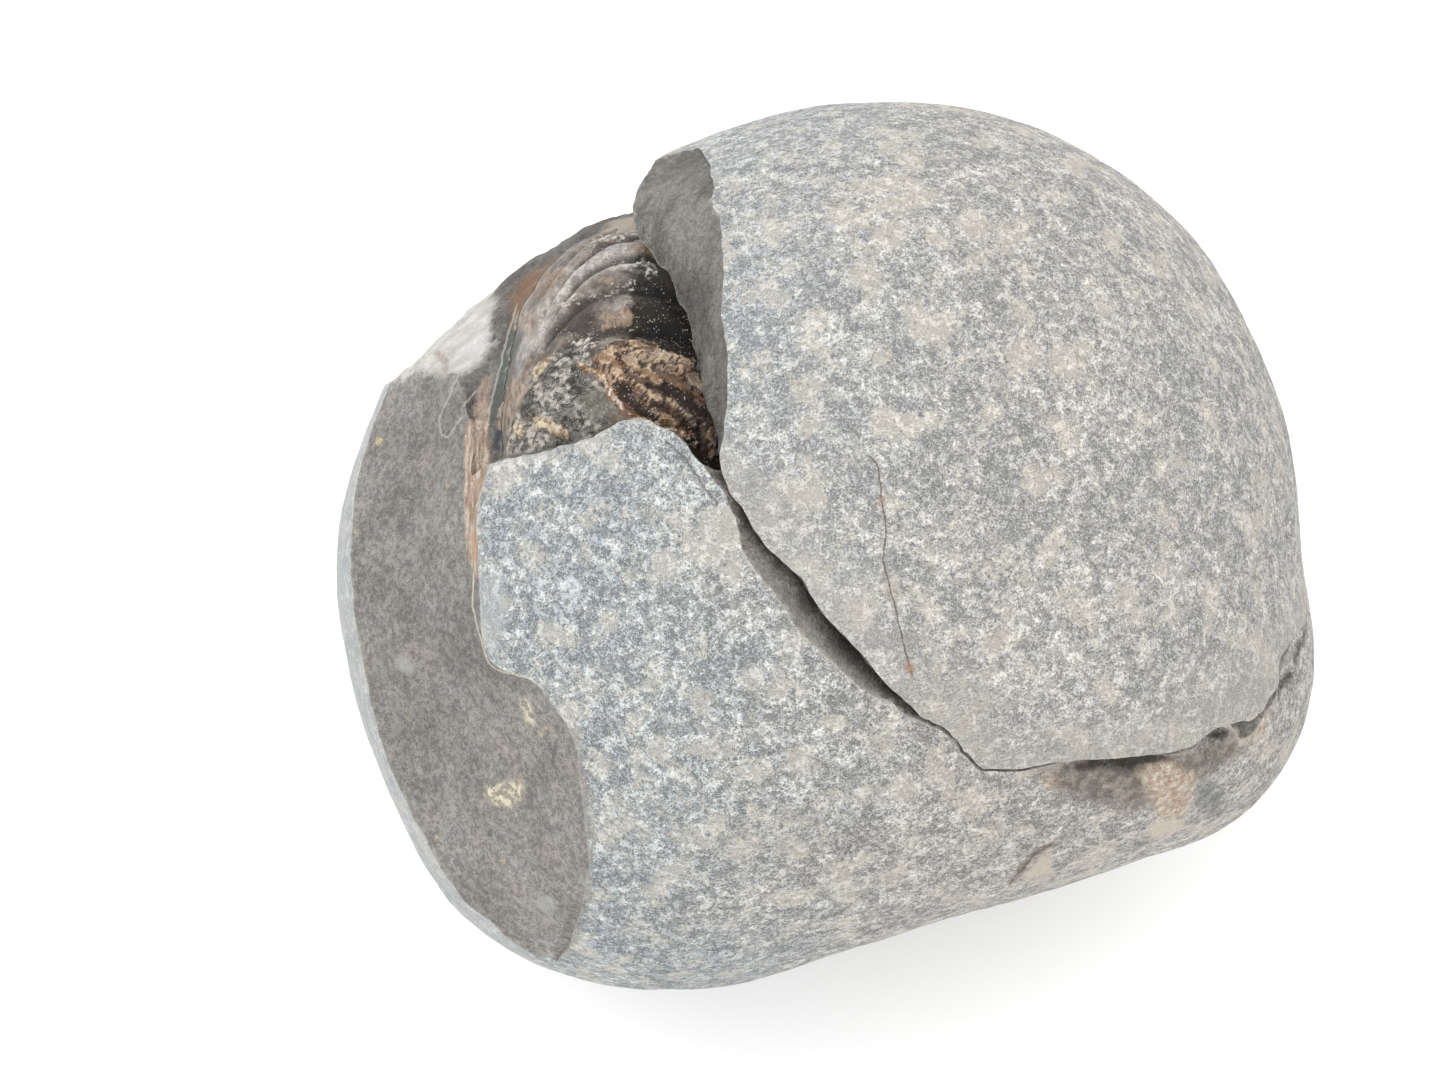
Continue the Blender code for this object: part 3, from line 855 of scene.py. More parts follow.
# Painted shade in the furrows between ribs, darker as the furrow deepens.
slate = blend(ramp(furrow, 0.22, 0.85, 0.0, 0.8), slate, tone(66, 58, 52))
flank = mottle(soft, tone(112, 112, 106), tone(150, 148, 141), 0.35, 0.65)
slate = blend(ramp(across, 50.0, 66.0, 0.0, 0.7), slate, flank)
slate = stain(slate, "green_hollow", tear, tone(94, 96, 90), 0.5, 0.9)
# Right side: brown-black shell, darkened further as painted shadow under the wall, with painted
# shade near black in its furrows.
dark = mottle(soft, tone(20, 15, 12), tone(50, 42, 35), 0.38, 0.64)
dark = blend(ramp(furrow, 0.15, 0.65, 0.0, 0.95), dark, tone(10, 8, 7))
lean = times(calc("SUBTRACT", cloud(place, 1.6, 4.0, 0.75), 0.5), 34.0)
side = ramp(plus(across, lean), -18.0, -6.0)
colour = blend(side, dark, slate)
colour = grained(colour, grain, 0.76, 1.22)

fibres = ramp(cloud(drawn_out(place, (3.0, 0.6, 1.0), 1.1), 1.0, 3.0, 0.7), 0.36, 0.62)
worn = blend(fibres, tone(112, 94, 82), tone(192, 172, 155))
colour = stain(colour, "pink_rock", tear, worn, 0.5, 0.75)
rust = blend(fibres, tone(104, 84, 68), tone(172, 142, 116))
scuffed = plus(loose, times(tear, 2.0))
colour = stain(colour, "rusty_patches", scuffed, rust, 0.7, 0.7)
pits = blend(grain, tone(54, 53, 49), tone(132, 128, 121))
crumbs = times(blotches(place, 0.6, 0.48, 1.2), ramp(cloud(place, 2.4), 0.42, 0.54))
pits = blend(times(crumbs, 0.85), pits, tone(214, 208, 197))
pits = stain(pits, "smooth_rock", tear, grained(tone(122, 121, 111), grain, 0.85, 1.15), 0.7, 0.85)
depth = plus(stored("pits", place), times(tear, 3.0))
colour = blend(ramp(depth, -0.3, 0.3), colour, pits)
crusty = blend(blotches(place, 0.6, 0.5, 1.0), tone(150, 126, 100), tone(226, 212, 188))
shred = ragged_edge(place, 0.8, 0.26)
tan = blend(fibres, tone(132, 112, 92), tone(176, 154, 132))
# The flank ridge lines are painted highlights.
colour = stains(colour, ("cream_flakes", shred, crusty, 0.10),
                ("tan_flake", shred, tan, 0.15, 0.85),
                ("flank_ridge_highlights", times(tear, 0.25), tone(180, 176, 167), 0.14, 0.45))

# Flakes of shell: every shard has its own colour, from near black up to tan. A torn edge gets a
# painted highlight along it, beside painted shade in its crack.
sheet = plus(stored("sheets", place), ragged_edge(place, 0.5, 0.016))
torn = plus(stored("torn", place), ragged_edge(place, 0.4, 0.02))
rusty = ramp(cloud(place, 2.2, 3.0, 0.6), 0.44, 0.58)
shell = tone(58, 46, 39)
for start, end, grey, brown in (
        (0.30, 0.36, tone(112, 98, 89), tone(118, 92, 73)),
        (0.47, 0.50, tone(152, 134, 122), tone(158, 126, 102)),
        (0.66, 0.70, tone(190, 171, 154), tone(204, 173, 142))):
    shell = blend(ramp(sheet, start, end), shell, blend(rusty, grey, brown))
painted_edge_light = times(ramp(torn, 0.05, 0.10), ramp(torn, 0.16, 0.28, 1.0, 0.0))
painted_edge_light = times(painted_edge_light, ramp(sheet, 0.44, 0.62))
painted_edge_light = times(painted_edge_light, ramp(cloud(place, 1.2), 0.38, 0.5))
shell = blend(times(painted_edge_light, 0.8), shell, tone(216, 190, 158))
shell = blend(ramp(torn, 0.02, 0.10, 0.8, 0.0), shell, tone(38, 29, 24))
shell = grained(shell, grain, 0.70, 1.28)
depth = plus(stored("flakes", place), times(tear, 2.5))
flaky = ramp(depth, -0.05, 0.1)
colour = blend(flaky, colour, shell)
snag = ragged_edge(place, 0.9, 0.42)
colour = stains(colour, ("flake_ledge", snag, tone(150, 112, 84), 0.10, 0.75),
                ("torn_edge", plus(snag, 0.18), tone(150, 108, 76), 0.15, 0.8),
                ("torn_edge", plus(snag, -0.02), tone(232, 219, 200), 0.10))

# White crumbs of calcite, thick along the rib tops and sparse elsewhere.
crumbs = blotches(place, 0.55, 0.455, 1.3)
near = plus(stored("speck_lines", place), ragged_edge(place, 0.9, 0.85))
near = ramp(near, -0.2, 0.3)
colour = blend(times(crumbs, near), colour, tone(228, 223, 211))
sparse = times(crystals, ramp(cloud(place, 2.5), 0.46, 0.56))
colour = blend(times(sparse, 0.9), colour, tone(218, 211, 198))
broken = grained(mottle(soft, tone(96, 90, 82), tone(136, 128, 116), 0.35, 0.65), grain, 0.82, 1.18)
colour = blend(stored("broken_face", place), colour, broken)
dull = plus(times(flaky, 0.12), ramp(stored("pits", place), -0.3, 0.3, 0.0, 0.25))
dull = plus(dull, ramp(side, 0.0, 1.0, 0.15, 0.0))
satin = ramp(soft, 0.3, 0.7, 0.38, 0.58)
surface(cast, 0.2, plus(satin, dull), grain, 0.4, 0.00012)
finish(ammonite, "ammonite", cast, colour)

# ---------------------------------------------------------------------------------------------
# The lower half: a limy mudstone concretion, grey and sea-worn, as big as a fist. It grew whole
# round the shell, and lost its crown along the split, a flake on the left and a chunk at the back.

# Radii of the stone's outline at even azimuths, from the right round by the back, and how deep
# the stone reaches over and under that outline, with the powers of both curves.
OUTLINE_RADII = (47.4, 47.3, 47.5, 47.8, 46.9, 45.6, 43.8, 42.3, 42.2, 43.7, 45.4, 46.6,
                 48.0, 48.3, 49.1, 50.5, 48.9, 44.8, 40.4, 38.7, 39.8, 43.5, 49.8, 50.2)
CROWN_DEPTH = 45.0
BASE_DEPTH = 38.0
CROWN_POWER = 2.15
BASE_POWER = 2.5
GAP = 0.3
SPLIT_CELL = 0.6 * FINE
# Spokes of the mesh, and its rings in bands of level: from, to (degrees) and how many.
LOWER_SPOKES = int(500 / FINE)
LOWER_BANDS = ((-88, -22, int(30 / FINE)), (-20, 88, int(120 / FINE)))

# The split: a sloping plane that drops behind a slanting hinge, and small steps (place, height)
# along its front edge.
SPLIT_HEIGHT = 40.8
SPLIT_SLOPE_U = 0.506
SPLIT_SLOPE_V = 0.306
SPLIT_EDGE_RUN = (0.77, -0.64)
SPLIT_HINGE_V = 4.2
SPLIT_HINGE_SLOPE = 0.30
SPLIT_DROP = 33.0
SPLIT_DROP_RATE = 1.2
SPLIT_DROP_RATE_RIGHT = 0.35
SPLIT_DROP_SIDE = (10.0, 45.0)
SPLIT_STEPS = ((-12.0, 0.0), (2.0, 0.2), (18.0, 0.1), (22.9, -2.5), (26.3, -1.1), (29.0, 0.6),
               (33.0, 1.8), (38.0, 2.0), (40.5, 0.0), (43.0, -1.5))

# The break: where it meets the skin (u, v, w), and the round shoulder between there and the coil.
BREAK_SKIN_EDGE = ((-40.0, 4.0, 40.0), (-37.0, 5.0, 40.0), (-34.0, 6.5, 33.0), (-31.7, 7.3, 29.0),
                   (-26.5, 9.0, 33.0), (-22.0, 9.8, 36.0), (-18.0, 11.8, 36.5), (-14.5, 10.4, 34.5),
                   (-9.8, 7.1, 34.0), (0.0, 14.0, 30.0))
BREAK_SHOULDER = 4.0
BREAK_POWER = 1.55
BREAK_PUSH = (-45.0, BEYOND, 45.0)

# The scar: the top of its step (u, v, w, height of the step), and its outer margin (u, v, w).
SCAR_STEP = ((-30.0, 31.0, 16.0, 1.5), (-31.2, 21.0, 27.0, 2.5), (-31.6, 13.8, 31.6, 3.2),
             (-30.8, 9.0, 33.9, 3.2), (-32.0, 2.8, 34.4, 3.0), (-31.8, -4.4, 34.9, 3.0),
             (-30.5, -9.9, 35.2, 2.4), (-27.0, -11.6, 37.1, 1.6), (-25.2, -13.4, 37.7, 1.6),
             (-22.9, -16.9, 38.1, 1.6), (-22.2, -25.2, 35.0, 1.2), (-22.8, -32.1, 29.2, 0.8),
             (-25.4, -39.5, 15.0, 0.2))
SCAR_MARGIN = ((-40.0, 30.0, 4.0), (-41.0, 20.5, 9.0), (-42.3, 15.8, 12.0), (-43.5, 11.6, 13.0),
               (-44.9, 6.8, 14.3), (-45.0, -0.9, 17.0), (-44.7, -6.0, 17.2), (-44.2, -10.0, 17.0),
               (-43.0, -15.8, 16.5), (-41.0, -22.0, 15.8), (-37.7, -28.6, 15.9),
               (-33.3, -33.8, 16.5), (-29.0, -40.0, 13.0))
SCAR_LENGTH = 78.0
SCAR_PUSH = (-40.0, 0.0, 65.0)
SCAR_OVERRUN = 0.7
SCAR_HOLLOW = 0.8
SCAR_STEP_RUN = 0.9
EDGE_FLARE = (0.3, -0.3, 14.0)
ARRIS_REACH = 2
ARRIS_FADE = 0.6

SKIN_BUMPS = (10, (0.30, 15.0, 2), (0.07, 2.6, 2))
SPLIT_BUMPS = (30, (0.20, 5.0, 2), (0.16, 1.5, 2))
SCAR_BUMPS = (60, (0.35, 9.0, 2), (0.10, 1.6, 2))
BREAK_BUMPS = (50, (0.45, 5.0, 2), (0.16, 1.5, 2))

# Dents in the skin, as (u, v, w, radius, depth).
LOWER_DENTS = ((19.6, -28.8, 25.3, 1.5, 0.7), (22.0, -19.2, 35.6, 1.5, 0.5),
               (24.4, -19.1, 35.0, 1.8, 0.8), (26.8, -19.2, 34.1, 1.8, 0.9),
               (29.0, -19.2, 33.2, 1.5, 0.6), (35.7, -17.1, 29.6, 1.6, 1.0),
               (43.4, -12.6, 21.8, 1.2, 0.7), (45.2, -9.0, 19.5, 1.4, 0.7),
               (31.2, -21.2, 31.0, 2.2, -0.5), (39.5, -16.2, 26.5, 1.6, -0.4))

# Marks of the lower half, by the name that its material reads: outlines with corners (u, v) under
# the level w at which they fade, spots (u, v, radius), broad lines (half width, corners), and thin
# lines that are drawn crisply.
SIDE_LEVEL = 19.0
ROCK_LEVEL = 5.0
RIM_LEVEL = 4.0
CALCITE_LEVEL = -2.0
LOWER_OUTLINES = {
    FRONT_LEVEL: {
        "pale_skin": (
            ((-32.4, -1.8), (-29.9, -2.0), (-29.0, -4.4), (-29.3, -7.1), (-30.6, -9.8),
             (-32.0, -6.3)),),
        "recess": (
            ((-29.4, 22.0), (-28.1, 20.5), (-27.8, 18.5), (-28.2, 16.6), (-29.2, 15.6),
             (-29.7, 14.6), (-30.1, 13.3), (-30.7, 12.4), (-31.3, 12.4), (-31.1, 14.0),
             (-30.7, 15.9), (-30.5, 17.6), (-30.1, 19.3), (-29.7, 20.8)),),
        "pink_rock": (
            ((-32.3, 16.3), (-31.3, 16.3), (-31.3, 14.0), (-31.5, 11.6), (-32.4, 11.1),
             (-33.0, 13.0), (-32.5, 14.5)), *CAST_OUTLINES["pink_rock"]),
        "tan_strip": (
            ((-33.3, 12.2), (-31.5, 12.0), (-31.2, 9.3), (-30.9, 6.4), (-30.5, 3.7), (-30.4, 0.5),
             (-30.8, -1.3), (-31.8, -2.8), (-32.9, -0.8), (-33.2, 1.0), (-33.4, 3.7), (-33.6, 7.4),
             (-33.6, 10.2)),),
        "tan_heart": (((-32.7, 1.6), (-32.2, 1.9), (-31.9, 0.0), (-32.4, -1.4)),),
        "dark_patch": (
            ((-30.4, 11.7), (-28.8, 11.9), (-28.4, 10.3), (-29.4, 9.0), (-30.8, 9.4),
             (-30.9, 10.7)),),
        "yellow_crumbs": (
            ((-32.0, -22.3), (-30.4, -21.6), (-28.1, -21.3), (-28.0, -22.5), (-29.4, -23.6),
             (-31.4, -23.5)),
            ((-27.9, -13.4), (-27.3, -13.8), (-26.8, -15.5), (-27.2, -16.2), (-27.8, -14.9))),
        "smudge": (
            ((-41.1, -10.5), (-39.7, -9.8), (-38.3, -11.0), (-38.9, -11.9), (-40.1, -11.1)),
            ((-27.0, -32.3), (-25.2, -32.1), (-25.3, -33.7), (-26.9, -33.9))),
        # Painted shadow in the open crack at the lower right.
        "painted_gap_shadows": (
            ((21.0, -19.4), (25.5, -18.2), (30.5, -18.0), (31.0, -19.0), (27.5, -19.9),
             (23.0, -20.0)),
            ((34.2, -17.3), (35.7, -15.9), (37.2, -16.8), (36.2, -17.6)),
            ((44.2, -11.5), (43.5, -12.6), (42.4, -13.9), (42.2, -13.2), (43.2, -11.6)),
            ((46.2, -6.9), (45.5, -9.0), (44.5, -10.9), (44.2, -10.2), (45.0, -8.4))),
    },
    CALCITE_LEVEL: {
        "calcite": (
            ((-40.6, 16.4), (-47.0, 13.0), (-46.0, 33.0), (-30.6, 29.5), (-31.6, 26.3),
             (-31.9, 22.6), (-31.8, 20.0), (-31.2, 19.5), (-31.8, 18.7), (-32.6, 17.6),
             (-33.5, 16.9), (-34.6, 16.5), (-36.5, 16.6), (-38.7, 17.2)),),
    },
    ROCK_LEVEL: {
        "rust_stains": (
            ((-30.0, 24.5), (-28.6, 26.7), (-25.5, 27.9), (-23.9, 26.8), (-24.8, 24.7),
             (-26.9, 23.7), (-29.0, 23.2)),
            ((-30.2, 24.5), (-27.5, 25.4), (-26.9, 23.0), (-28.9, 22.0), (-29.7, 20.8))),
        "pale_rock": (
            ((-22.5, 29.6), (-19.9, 32.6), (-15.6, 33.5), (-14.0, 30.6), (-16.0, 28.4),
             (-19.0, 29.3)),),
    },
    SIDE_LEVEL: {
        "orange_patches": (
            ((28.0, -19.7), (29.1, -18.8), (31.6, -19.3), (33.9, -20.7), (33.7, -23.2),
             (33.2, -25.5), (30.9, -24.6), (29.3, -22.4)),
            ((19.4, -20.5), (20.4, -20.3), (20.2, -21.3), (19.5, -21.3)),
            ((37.9, -17.3), (39.2, -16.5), (40.4, -15.0), (41.6, -15.3), (40.8, -16.8),
             (39.6, -17.8))),
        "brown_patch": (
            ((17.9, -19.7), (20.7, -19.0), (24.4, -18.0), (31.5, -18.0), (37.5, -17.0),
             (39.0, -18.2), (35.5, -20.5), (30.6, -23.0), (27.9, -24.1), (23.9, -23.0),
             (20.0, -21.6)),),
        "pale_patches": (
            ((30.1, -25.5), (32.0, -25.0), (34.5, -26.1), (36.8, -29.2), (34.5, -29.8),
             (30.7, -27.4)),
            ((18.5, -30.6), (19.2, -29.4), (20.7, -27.5), (21.2, -29.6), (23.0, -33.5),
             (21.4, -34.0))),
        "grey_streaks": (
            ((34.2, -21.6), (35.6, -21.1), (37.2, -23.4), (39.6, -27.6), (38.0, -28.2)),
            ((29.7, -27.5), (30.3, -27.4), (30.6, -28.3), (29.9, -28.3))),
    },
}
LOWER_SPOTS = {
    "cream_spots": (
        (-9.8, 1.9, 2.4), (-11.4, 0.2, 1.6), (-14.8, -1.0, 1.3), (-15.6, -2.2, 0.9),
        (-10.3, -24.5, 1.2), (-2.9, -18.5, 1.4), (-15.3, -17.5, 1.1), (-29.2, -4.6, 0.6),
        (-11.7, -13.1, 1.0), (-17.1, -18.6, 0.9), (-3.2, -26.9, 1.3), (4.4, -22.3, 0.9),
        (-7.2, -11.2, 1.2), (-19.7, -6.1, 0.9), (-18.4, -24.6, 1.0)),
    "dark_spots": (
        (-15.7, -17.2, 1.2), (2.6, -25.1, 1.2), (-18.8, 4.5, 1.6), (-17.0, 6.3, 1.4),
        (-24.2, -0.8, 1.4), (-11.7, -8.7, 1.3), (-22.4, 5.6, 1.6), (-19.4, -9.8, 1.2)),
    "blue_white": ((-23.2, -3.3, 0.9), (-26.0, -2.6, 0.5)),
    "yellow_spots": (
        (-42.7, 10.5, 0.4), (-44.7, 1.8, 0.35), (-39.4, -15.9, 0.25), (-36.9, -27.4, 0.3),
        (-30.3, -29.2, 0.25), (-31.7, 2.3, 0.3), (-26.2, -16.5, 0.25), (-25.4, -15.9, 0.2),
        (-24.8, -16.6, 0.2), (-35.2, 5.9, 0.2)),
}
THIN_LINES = {
    "veins": (
        ((-34.5, 16.4), (-34.8, 15.7), (-35.2, 14.6), (-36.0, 13.2), (-36.3, 12.4), (-36.2, 11.5),
         (-36.1, 10.8), (-35.3, 10.5), (-34.8, 11.3), (-34.2, 12.1)),
        ((-32.7, 14.8), (-33.6, 13.7)),
        ((-34.5, 16.9), (-33.3, 17.4), (-32.4, 18.4), (-31.1, 19.9)),
        ((-29.3, 23.2), (-29.9, 20.6), (-30.3, 18.7), (-30.5, 17.1), (-30.9, 15.3), (-31.3, 13.5),
         (-31.4, 12.3))),
    "pale_lines": (
        ((-32.4, -2.0), (-32.5, -5.1), (-31.9, -7.2), (-31.1, -9.9), (-30.5, -10.6), (-29.2, -11.0),
         (-27.3, -11.4)),
        ((25.0, -25.5), (25.5, -26.8), (25.5, -28.1))),
    "cracks": (
        ((17.4, -31.4), (17.8, -30.4), (18.7, -29.2), (19.6, -27.9), (20.7, -27.1)),
        ((-14.9, 9.9), (-12.9, 8.0), (-11.4, 5.6), (-10.2, 4.2))),
}
LOWER_LINES = {
    "calcite_seam": ((0.3, ((-37.2, 19.0), (-36.2, 18.2), (-35.9, 17.0))),),
    "chip_edge": ((0.3, THIN_LINES["cracks"][0]),),
    "scar_fringe": (
        (0.7, ((-25.4, -13.4), (-23.2, -17.0), (-22.2, -21.0), (-22.0, -25.2), (-22.4, -32.1),
         (-24.8, -38.0))),),
    # Painted shadow on the split below the cap's overhanging edge.
    "cap_edge_shadow": (
        (0.9, ((-7.8, 3.2), (-6.0, 1.2), (-3.8, -1.0), (-2.7, -2.1), (-1.9, -4.3), (0.6, -7.4),
         (3.2, -10.3), (5.9, -13.3), (8.7, -15.9))),),
    "worn_lip": (
        (1.0, ((-6.5, -0.8), (-5.0, -3.6), (-3.0, -6.5), (-0.3, -9.6), (3.3, -13.1), (5.5, -15.1),
         (8.2, -17.0))),),
}
RIM_LINES = {
    # Painted rim light: paler skin along the left edge.
    "painted_rim_light": (
        (2.2, ((-40.0, 21.0), (-43.2, 15.8), (-44.8, 11.6), (-46.3, 6.8), (-46.9, -0.9),
         (-46.4, -6.0), (-45.6, -10.0), (-44.4, -15.8), (-42.4, -22.0), (-39.1, -28.6),
         (-34.7, -34.2), (-30.0, -38.4))),),
}


def outline(azimuth):
    """Radius of the stone's outline at an azimuth, by a smooth curve through OUTLINE_RADII."""
    radii = np.array(OUTLINE_RADII)
    place = (np.asarray(azimuth) / (2 * math.pi) * len(radii)) % len(radii)
    first = np.floor(place).astype(int)
    part = place - first
    return smooth(*(radii[(first + step) % len(radii)] for step in (-1, 0, 1, 2)), part)


def pebble(name, spokes, bands, dents):
    """The unbroken stone: rings of an outline shrunk by a power of the cosine of the level, set at
    heights by the same power of its sine, with shallow bumps, and pressed flat on the floor. Each
    dent sinks the skin by a bell-shaped amount round its place."""
    levels = np.concatenate([np.linspace(*band) for band in bands])
    turn = np.linspace(0, 2 * math.pi, spokes, endpoint=False)
    spoke, level = np.meshgrid(turn, np.radians(levels), indexing="ij")
    power = np.where(level > 0, CROWN_POWER, BASE_POWER)
    depth = np.where(level > 0, CROWN_DEPTH, BASE_DEPTH)
    reach = outline(spoke) * np.cos(level) ** (2 / power)
    height = depth * np.sign(level) * np.abs(np.sin(level)) ** (2 / power)
    points = np.stack([reach * np.cos(spoke), reach * np.sin(spoke), height], axis=-1)
    points = np.vstack([points.reshape(-1, 3), [(0, 0, -BASE_DEPTH), (0, 0, CROWN_DEPTH)]])
    away = points / np.linalg.norm(points, axis=-1, keepdims=True)
    rise = bumps(points, *SKIN_BUMPS)
    for u, v, w, radius, sink in dents:
        rise -= sink * np.exp(-((points - (u, v, w)) ** 2).sum(axis=-1) / radius ** 2)
    points = points + away * rise[:, None]
    world = to_world(points)
    world[:, 2] = np.maximum(world[:, 2], cad_box[0][2])
    return ring_solid(name, to_stone(world), spokes, len(levels), SKIN)


def split_height(u, v):
    """Height w of the split: a plane, dropping behind a slanting line, plus the stepped edge."""
    behind = np.logaddexp(0, v + SPLIT_HINGE_SLOPE * u - SPLIT_HINGE_V)
    near, far = SPLIT_DROP_SIDE
    side = np.clip((u - near) / (far - near), 0, 1)
    side = side * side * (3 - 2 * side)
    rate = SPLIT_DROP_RATE + SPLIT_DROP_RATE_RIGHT * side
    drop = SPLIT_DROP * np.tanh(behind * rate / SPLIT_DROP)
    along = SPLIT_EDGE_RUN[0] * u + SPLIT_EDGE_RUN[1] * v
    places, steps = zip(*SPLIT_STEPS)
    plane = SPLIT_HEIGHT - SPLIT_SLOPE_U * u - SPLIT_SLOPE_V * v
    return plane - drop + np.interp(along, places, steps)


def split_block(lift):
    """Everything above the rough split, which is raised by lift."""
    reach = np.linspace(-BEYOND, BEYOND, int(2 * BEYOND / SPLIT_CELL))
    u, v = np.meshgrid(reach, reach, indexing="ij")
    sheet = np.stack([u, v, split_height(u, v)], axis=-1)
    sheet[..., 2] += bumps(sheet, *SPLIT_BUMPS) + lift
    return pushed_sheet("above_split", sheet, (0, 0, 2 * BEYOND), SPLIT)


lower_half = pebble("lower_half_stone", LOWER_SPOKES, LOWER_BANDS, LOWER_DENTS)
cut(lower_half, split_block(-GAP / 2))

rows = []
for (u, v), inner in zip(BREAK_OUTLINE, BREAK_SKIN_EDGE):
    outer = np.array((u, v, BREAK_SHOULDER))
    inner = np.array(inner)
    row = [outer + (0, 0, -BEYOND), outer + (0, 0, -BEYOND / 2)]
    for angle in np.radians(range(0, 91, 10)):
        across = 1 - math.cos(angle) ** (2 / BREAK_POWER)
        up = math.sin(angle) ** (2 / BREAK_POWER)
        row.append(outer + (inner - outer) * (across, across, up))
    rows.append(row + [inner + EDGE_FLARE])
sheet = curve(rows, BREAK_LENGTH)
break_off(lower_half, "break", sheet, BREAK_BUMPS, BREAK_PUSH, BREAK)

rows = []
for step, margin in zip(SCAR_STEP, SCAR_MARGIN):
    top, margin = np.array(step[:3]), np.array(margin)
    foot = top + (-SCAR_STEP_RUN, 0.0, -step[3])
    middle = (foot + margin) / 2 + (0.4 * SCAR_HOLLOW, 0, -SCAR_HOLLOW)
    beyond = margin + SCAR_OVERRUN * (margin - foot)
    rows.append([beyond, margin, middle, foot, top, top + EDGE_FLARE])
sheet = curve(rows, SCAR_LENGTH)
break_off(lower_half, "scar", sheet, SCAR_BUMPS, SCAR_PUSH, SCAR)
cut(lower_half, socket())


def arris(mesh):
    """1 on edges where two kinds of surface meet, fading over a few cells on both sides."""
    corner = read(mesh.loops, "vertex_index")
    corner_kinds = np.repeat(face_kinds(mesh), read(mesh.polygons, "loop_total"))
    low = np.full(len(mesh.vertices), SOCKET + 1)
    high = np.full(len(mesh.vertices), -1)
    np.minimum.at(low, corner, corner_kinds)
    np.maximum.at(high, corner, corner_kinds)
    value = (low != high).astype(float)
    one, two = read(mesh.edges, "vertices", 2).T
    for _ in range(ARRIS_REACH):
        spill = value.copy()
        np.maximum.at(spill, one, value[two] * ARRIS_FADE)
        np.maximum.at(spill, two, value[one] * ARRIS_FADE)
        value = spill
    return value


def store_surfaces(mesh):
    """Store which faces are scar, wall or break, and the worn edges between them."""
    kinds = face_kinds(mesh)
    write(mesh, "scar_face", kinds == SCAR, "FACE")
    write(mesh, "wall_face", kinds == WALL, "FACE")
    write(mesh, "split_face", kinds == SPLIT, "FACE")
    write(mesh, "rock_face", (kinds == BREAK) | (kinds == SOCKET), "FACE")
    write(mesh, "edge", arris(mesh))


def fresh_stone(place, size, low, high, sand, dark, bright, roughness=0.7):
    """Freshly broken stone: two colours in clouds of a size, and sand from dark to bright."""
    return grained(mottle(cloud(place, size, 5.0, roughness), low, high), sand, dark, bright)


def stone(name, cool, warm, cream, grit):
    """Weathered skin, and the darker, even stone of its fresh breaks. Returns the material, the
    place, the torn-edge noise, and the colours of skin, scar, wall, split and broken rock, for the
    marks of each half to be laid on."""
    material, place = start_material(name)
    grain, crystals = grains(place, 1.0)
    sand, specks = grains(drawn_out(place, (1.0, 1.0, 0.85)), 0.8)
    tear = ragged_edge(place, 1.4, 0.55)
    sideways, forward = put("SeparateXYZ", {0: place}).outputs[:2]

    # Skin: cool grey on the left drifts to warm grey on the right. Pale grains gather on it in
    # ragged clusters of every size, among dark pores and white sparkles.
    drift = plus(sideways, times(cloud(place, 15.0), 34.0))
    skin = blend(ramp(drift, -14.0, 34.0), cool, warm)
    pale = blend(ramp(drift, 0.0, 34.0), tone(211, 214, 211), cream)
    shadow = ramp(plus(stored("dark_spots", place), tear), -0.4, 0.6, 0.0, -0.05)
    broad = times(calc("SUBTRACT", cloud(place, 9.0), 0.5), 0.22)
    crowd = plus(cloud(place, 2.4, 5.0, 0.85), plus(shadow, broad))
    skin = blend(times(ramp(crowd, 0.455, 0.575), 0.9), skin, pale)
    skin = grained(skin, grain, 1 - grit, 1 + 0.95 * grit)
    skin = shade(skin, ramp(cloud(place, 0.24, 2.0, 1.0), 0.38, 0.62, 0.74, 1.26))
    spots = ramp(plus(stored("cream_spots", place), tear), -0.3, 0.5)
    soft = calc("MAXIMUM", spots, blotches(place, 3.6, 0.41, 0.8))
    dusted = grained(blend(0.5, pale, tone(235, 224, 206)), grain, 0.84, 1.12)
    skin = blend(times(soft, 0.72), skin, dusted)
    pores = ramp(cloud(place, 0.45, 2.0, 0.6), 0.60, 0.70, 0.0, 0.55)
    skin = blend(pores, skin, tone(112, 114, 116))
    skin = blend(times(crystals, 0.9), skin, tone(246, 247, 245))
    skin = blend(times(grains(place, 0.65)[1], 0.6), skin, tone(250, 250, 248))

    # Scar: dark grey, a little brown in places, thickly dusted with fine pale grains.
    scar = mottle(cloud(place, 7.0, 5.0, 0.7), tone(140, 137, 132), tone(162, 159, 155))
    scar = blend(times(blotches(place, 3.5, 0.38, 0.9), 0.30), scar, tone(162, 148, 134))
    scar = grained(scar, sand, 0.72, 1.26)
    scar = shade(scar, ramp(forward, -42.0, -12.0, 1.14, 1.02))
    scar = blend(times(specks, 0.55), scar, tone(210, 205, 196))

    # Wall: olive grey and even-grained. Split: fresh, dark and rough. Rock broken open round the
    # fossil: smooth dark slate.
    wall = fresh_stone(place, 6.0, tone(116, 114, 108), tone(150, 147, 140), sand, 0.78, 1.22)
    wall = blend(times(specks, 0.4), wall, tone(196, 193, 184))
    split = fresh_stone(place, 3.0, tone(106, 101, 95), tone(150, 144, 136), sand, 0.70, 1.28)
    rock = fresh_stone(place, 3.5, tone(102, 99, 95), tone(134, 131, 126), sand, 0.74, 1.24, 0.65)
    rock = blend(times(specks, 0.4), rock, tone(190, 186, 178))

    surface(material, 0.3, ramp(grain, 0.0, 1.0, 0.95, 0.75), grain, 0.8, 0.0002)
    return material, place, tear, skin, scar, wall, split, rock


